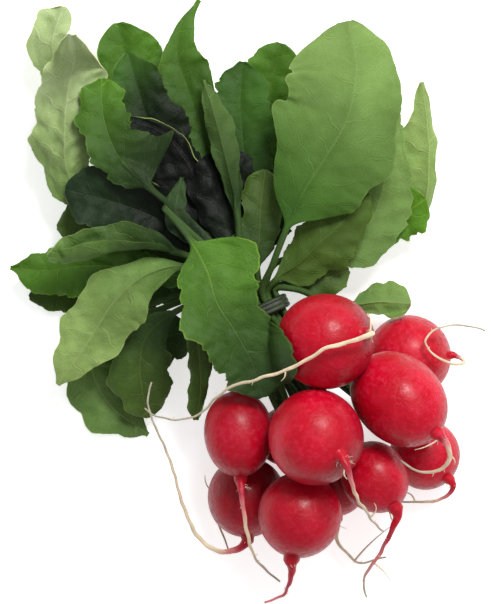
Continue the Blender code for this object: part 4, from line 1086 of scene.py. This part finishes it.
def bulbPiece(number, lift, lay):
    # circles along the axis with radius times sine to the 0.94 and the root's own radius, joined
    # as the 2.2th root of the sum of their 2.2th powers; the root tapers as the 0.38th power
    centre, axis, half, radius, line, length, ends = bulbLine(number, lift, lay)
    look = bulbShape
    root, far, length = rootPath(line, length, number)
    way = far / length
    turn = np.radians(np.linspace(3, 176, look["along"]))
    body = centre - axis * half * np.cos(turn)[:, None]
    taper = rootTaper(ends, way) * (look["slim"] + look["flare"] * np.exp(-far / look["flareReach"]))
    nearRoot = ease((turn - look["shoulder"]) / look["shoulderReach"])
    bodyReach = radius * np.sin(turn) ** bulbFit["bodyPower"]
    meet = look["meet"]
    bodyReach = (bodyReach ** meet + (taper[0] * nearRoot) ** meet) ** (1 / meet)
    path = np.vstack([body, root])
    reach = np.concatenate([bodyReach, taper])
    a = np.arange(look["around"]) * 2 * np.pi / look["around"]
    grow = np.concatenate([turn / np.pi, 1 + way])[:, None]
    mask = np.concatenate([np.sin(turn), 0 * way])[:, None]
    lump = look["lump"] * (np.sin(2 * a + number)[None] * np.sin(3.1 * grow + number)
                           + 0.6 * np.sin(3 * a + 2 * number)[None] * np.cos(5 * grow))
    rough = 0.1 * np.sin(3 * a + 9 * grow) * np.sin(40 * grow + number)
    rough = rough + 0.1 * sway((grow - 1) * length, 7.0, number)
    uneven = 1 + lump * mask + rough * (grow > 1)
    rings = tube(path, reach, look["around"], uneven)
    n, m = rings.shape[:2]
    poles = [body[0] - axis * 0.05, path[-1] + unit(path[-1] - path[-2]) * 0.1]
    flat = np.concatenate([rings.reshape(-1, 3), poles])
    flat[:, 2] = np.maximum(flat[:, 2], 0.0 if number in resting else 0.05)
    j = np.arange(m)
    k = (j + 1) % m
    fans = [np.stack([k, j, np.full(m, n * m)], -1),
            np.stack([(n - 1) * m + j, (n - 1) * m + k, np.full(m, n * m + 1)], -1)]
    dist = np.concatenate([half * (1 - np.cos(turn)), 2 * half + far])
    plan = np.stack([np.tile(a * 3, n), np.repeat(dist, m)], -1)
    fade = np.concatenate([np.zeros(look["along"]), ease(way / (1.6 * rootBlush[number]))])
    # painted shade: each bulb's brightness, falling to half from half a radius above its axis down to
    # half a radius below
    high = (rings[..., 2] - path[:, 2, None]) / reach[:, None]
    lit = bulbShade.get(number, 0.95) * (1 - 0.5 * np.clip(0.5 - high, 0, 1))
    wayDown = np.concatenate([0 * turn, way])
    tint = np.stack([np.repeat(fade, m), np.repeat(wayDown, m), lit.ravel()], -1)
    plan = np.vstack([plan, plan[:1], plan[-1:]])
    tint = np.vstack([tint, tint[:1], tint[-1:]])
    faces = gridQuads(n, m, True).tolist() + [f for fan in fans for f in fan.tolist()]
    flat = [flat]
    for hair in rootHairs(number, root):
        faces += capped(hair, sum(map(len, flat)))
        flat.append(hair.reshape(-1, 3))
    flat = np.vstack(flat)
    extra = len(flat) - len(plan)
    plan = np.vstack([plan, np.zeros((extra, 2))])
    tint = np.vstack([tint, np.tile(hairTint, (extra, 1))])
    obj = newClosed(f"freshRadish{number:02d}", flat, faces, plan, tint)
    obj.data.materials.append(redSkin)
    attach(obj, "root")
    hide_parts(f"radish_{number:02d}")


def radishSkin():
    # mottled red, darkened below by painted shade, that goes through rust and pink to the root's cream
    # and grey
    skin, w, shader = newSkin("radishSkin")
    look, grain = bulbSkin, bulbGrain
    tint = w.make("ShaderNodeAttribute", dict(attribute_name="tint"))
    parts = w.make("ShaderNodeSeparateColor", None, {"Color": tint.other("Color")})
    fade, way = parts, parts.other("Green")
    place = w.make("ShaderNodeTexCoord", None, None, "Object")
    plan = w.make("ShaderNodeUVMap", dict(uv_map="plan"))
    long = w.make("ShaderNodeMapping", None, {"Vector": plan, "Scale": grain["stretch"]})
    cloud = w.noise(place, grain["cloud"], 3.0, 0.55).between(0.32, 0.7)
    mottle = w.noise(place, grain["mottle"], 4.0, 0.65).between(0.42, 0.72)
    streak = w.noise(long, grain["streak"], 3.0, 0.6).between(0.52, 0.82)
    colour = w.paint(look["deep"], look["flesh"], cloud * 0.7 + 0.3)
    colour = w.paint(colour, look["bright"], (mottle * cloud * 0.4).most(streak * 0.3))
    # painted shade: the red darkens to under by the tint's third channel
    colour = w.paint(look["under"], colour, parts.other("Blue"))
    rootTone = w.paint(look["cream"], look["grey"], way.between(0.35, 1.0))
    rootTone = w.paint(rootTone, look["pink"], w.noise(place, grain["dapple"]).between(0.5, 0.75) * 0.3)
    blush = w.paint(colour, look["rust"], fade.between(0.0, 0.14))
    blush = w.paint(blush, look["pink"], fade.between(0.1, 0.42))
    colour = w.paint(blush, rootTone, fade.between(0.45, 1.0))
    join(colour, shader, "Base Color")
    join(mottle * 0.3 + cloud * 0.12 + (look["rough"] - 0.14) + fade * 0.2, shader, "Roughness")
    setValues(shader, {"Specular IOR Level": look["specular"], "Coat Weight": look["coat"],
                       "Coat Roughness": look["coatRough"]})
    relief = w.noise(place, grain["swell"]) * 0.7 + mottle * 0.24 + streak * 0.1
    emboss(relief, shader, look["bump"], look["depth"])
    return skin


# Rubber band
bandLook = dict(dark=rgb(38, 48, 28), light=rgb(56, 68, 40), dust=500.0, rough=0.5, around=160,
                across=25)


def bandLoops(count, loops):
    # superellipses round the stalks, square to them; each loop has how far it stands out and
    # where it lies across the band's width, from -1 to 1
    a = np.linspace(0, 2 * np.pi, count + 1)[:-1]
    wide = (max(stalks["rows"]) - 1) / 2 * stalks["pitch"] + stalks["radius"] + bandFit["spareAcross"]
    tall = (len(stalks["rows"]) - 1) / 2 * stalks["rowPitch"] + stalks["radius"] + bandFit["spareUp"]
    x, z = [np.sign(k) * np.abs(k) ** (2 / bandFit["power"]) for k in (np.cos(a), np.sin(a))]
    return np.array([tie["centre"] + np.outer(x * (wide + o), tie["side"])
                     + np.outer(z * (tall + o), up) + tie["run"] * k * tie["width"] / 2
                     for o, k in loops])


def bandPiece():
    # three soft ridges across the width, by the 0.6th power of a cosine, and a plain inner side
    along = np.linspace(-1, 1, bandLook["across"])
    ridges = 0.78 + 0.22 * np.abs(np.cos(1.5 * np.pi * along)) ** 0.6
    out = tie["thickness"] * ridges * (1 - along**12)
    inside = [(0.02, k) for k in np.linspace(0.95, -0.95, 6)]
    rings = bandLoops(bandLook["around"], list(zip(out, along)) + inside)
    rings = np.concatenate([rings, rings[:1]])
    n, m = rings.shape[:2]
    quads = gridQuads(n - 1, m, True)
    j = np.arange(m)
    last = np.stack([(n - 2) * m + j, (n - 2) * m + (j + 1) % m, (j + 1) % m, j], -1)
    quads = np.concatenate([quads, last])
    flat = rings[:-1].reshape(-1, 3)
    obj = newMesh("rubberBand", flat, outward(flat, quads))
    skin, w, shader = newSkin("bandRubber")
    place = w.make("ShaderNodeTexCoord", None, None, "Object")
    dust = w.noise(place, bandLook["dust"], 3.0).between(0.4, 0.7)
    join(w.paint(bandLook["dark"], bandLook["light"], dust), shader, "Base Color")
    join(dust * 0.2 + bandLook["rough"], shader, "Roughness")
    obj.data.materials.append(skin)
    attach(obj, "root")
    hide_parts("tie")


# Floor, lights and camera
studio = dict(cameraHigh=0.8, span=0.2114, plane=0.035, sky=0.4, floorReach=1.6,
              floorHigh=-0.0002, floorGlow=0.6)
lamps = dict(key=dict(power=6.2, place=(0.2, 0.46, 0.7), size=0.3),
             fill=dict(power=1.2, place=(0.45, 0.0, 0.95), size=0.9))


def makeStudio():
    # a glowing floor, a pale sky, two round lamps that face the origin, and a camera straight above
    # whose lens is half the sensor times the distance to the plane over half the span
    mesh = bpy.data.meshes.new("floor")
    corners = [(x * studio["floorReach"], y * studio["floorReach"], studio["floorHigh"])
               for x, y in ((-1, -1), (1, -1), (1, 1), (-1, 1))]
    mesh.from_pydata(corners, [], [(0, 1, 2, 3)])
    floor = bpy.data.objects.new("floor", mesh)
    skin, _, shader = newSkin("paleFloor")
    setValues(shader, {"Base Color": (0.93, 0.93, 0.93, 1), "Roughness": 0.9,
                       "Emission Color": (1, 1, 1, 1), "Emission Strength": studio["floorGlow"]})
    mesh.materials.append(skin)
    bpy.context.scene.collection.objects.link(floor)
    world = bpy.data.worlds.new("sky")
    world.use_nodes = True
    setValues(world.node_tree.nodes["Background"], dict(Color=(1, 1, 1, 1), Strength=studio["sky"]))
    bpy.context.scene.world = world
    for name, look in lamps.items():
        lamp = bpy.data.lights.new(name, "AREA")
        lamp.energy = look["power"]
        lamp.shape = "DISK"
        lamp.size = look["size"]
        obj = bpy.data.objects.new(name, lamp)
        obj.location = look["place"]
        obj.rotation_mode = "QUATERNION"
        obj.rotation_quaternion = (-Vector(look["place"])).to_track_quat("-Z", "Y")
        bpy.context.scene.collection.objects.link(obj)
    camera = bpy.data.cameras.new("camera")
    camera.sensor_width = 36.0
    camera.lens = 18.0 / (studio["span"] / 2 / (studio["cameraHigh"] - studio["plane"]))
    camera.clip_start, camera.clip_end = 0.01, 10.0
    obj = bpy.data.objects.new("camera", camera)
    obj.location = (shift[0] * mm, shift[1] * mm, studio["cameraHigh"])
    bpy.context.scene.collection.objects.link(obj)
    bpy.context.scene.camera = obj
    bpy.context.scene.view_settings.view_transform = "Standard"


makeStudio()
upperSkin = leafSkin("leafUpperFace", upperFace)
underSkin = leafSkin("leafUnderFace", underFace)
redSkin = radishSkin()
print("studio and skins made")


def dropOf(number):
    # how far a resting bulb is lowered, so that its flat is pressed in
    return -flatDepth - bulbRings(number)[:bodyRings, :, 2].min() if number in resting else 0.0


drops = {number: dropOf(number) for number in bulbs}
for number in bulbs:
    if number not in laidLast:
        heap(bulbRings(number, drops[number]), 5, 5)
        bulbPiece(number, drops[number], False)
heap(bulbRings(9, drops[9])[:bodyRings], 5, 5)
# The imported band's outline: thicknesses out, and place across its width.
bandOutline = ((0, -1), (1, -0.82), (1, 0.82), (0, 1))
heap(bandLoops(28, [(out * tie["thickness"], along) for out, along in bandOutline]), 6, 4)
bandPiece()
print("bulbs and band made")

chains = stalkChains()
for chain in chains:
    heap(tube(chain, [stalks["radius"]] * len(chain), 8), 3, 3)
for number, (leaf, chain) in enumerate(zip(leaves, chains)):
    if number == len(leaves) - 1:
        heap(bulbRings(1)[:bodyRings], 5, 5)
    made = leafSheet(leaf, chain, number)
    for face in coarseFaces(leaf, made):
        heap(face, 8, 14)
    leafPiece(made, number)
print("leaves made")

for number in laidLast:
    bulbPiece(number, drops[number], True)

faces = sum(len(o.data.polygons) for o in bpy.data.objects if o.type == "MESH")
print("pieces made, faces:", faces)
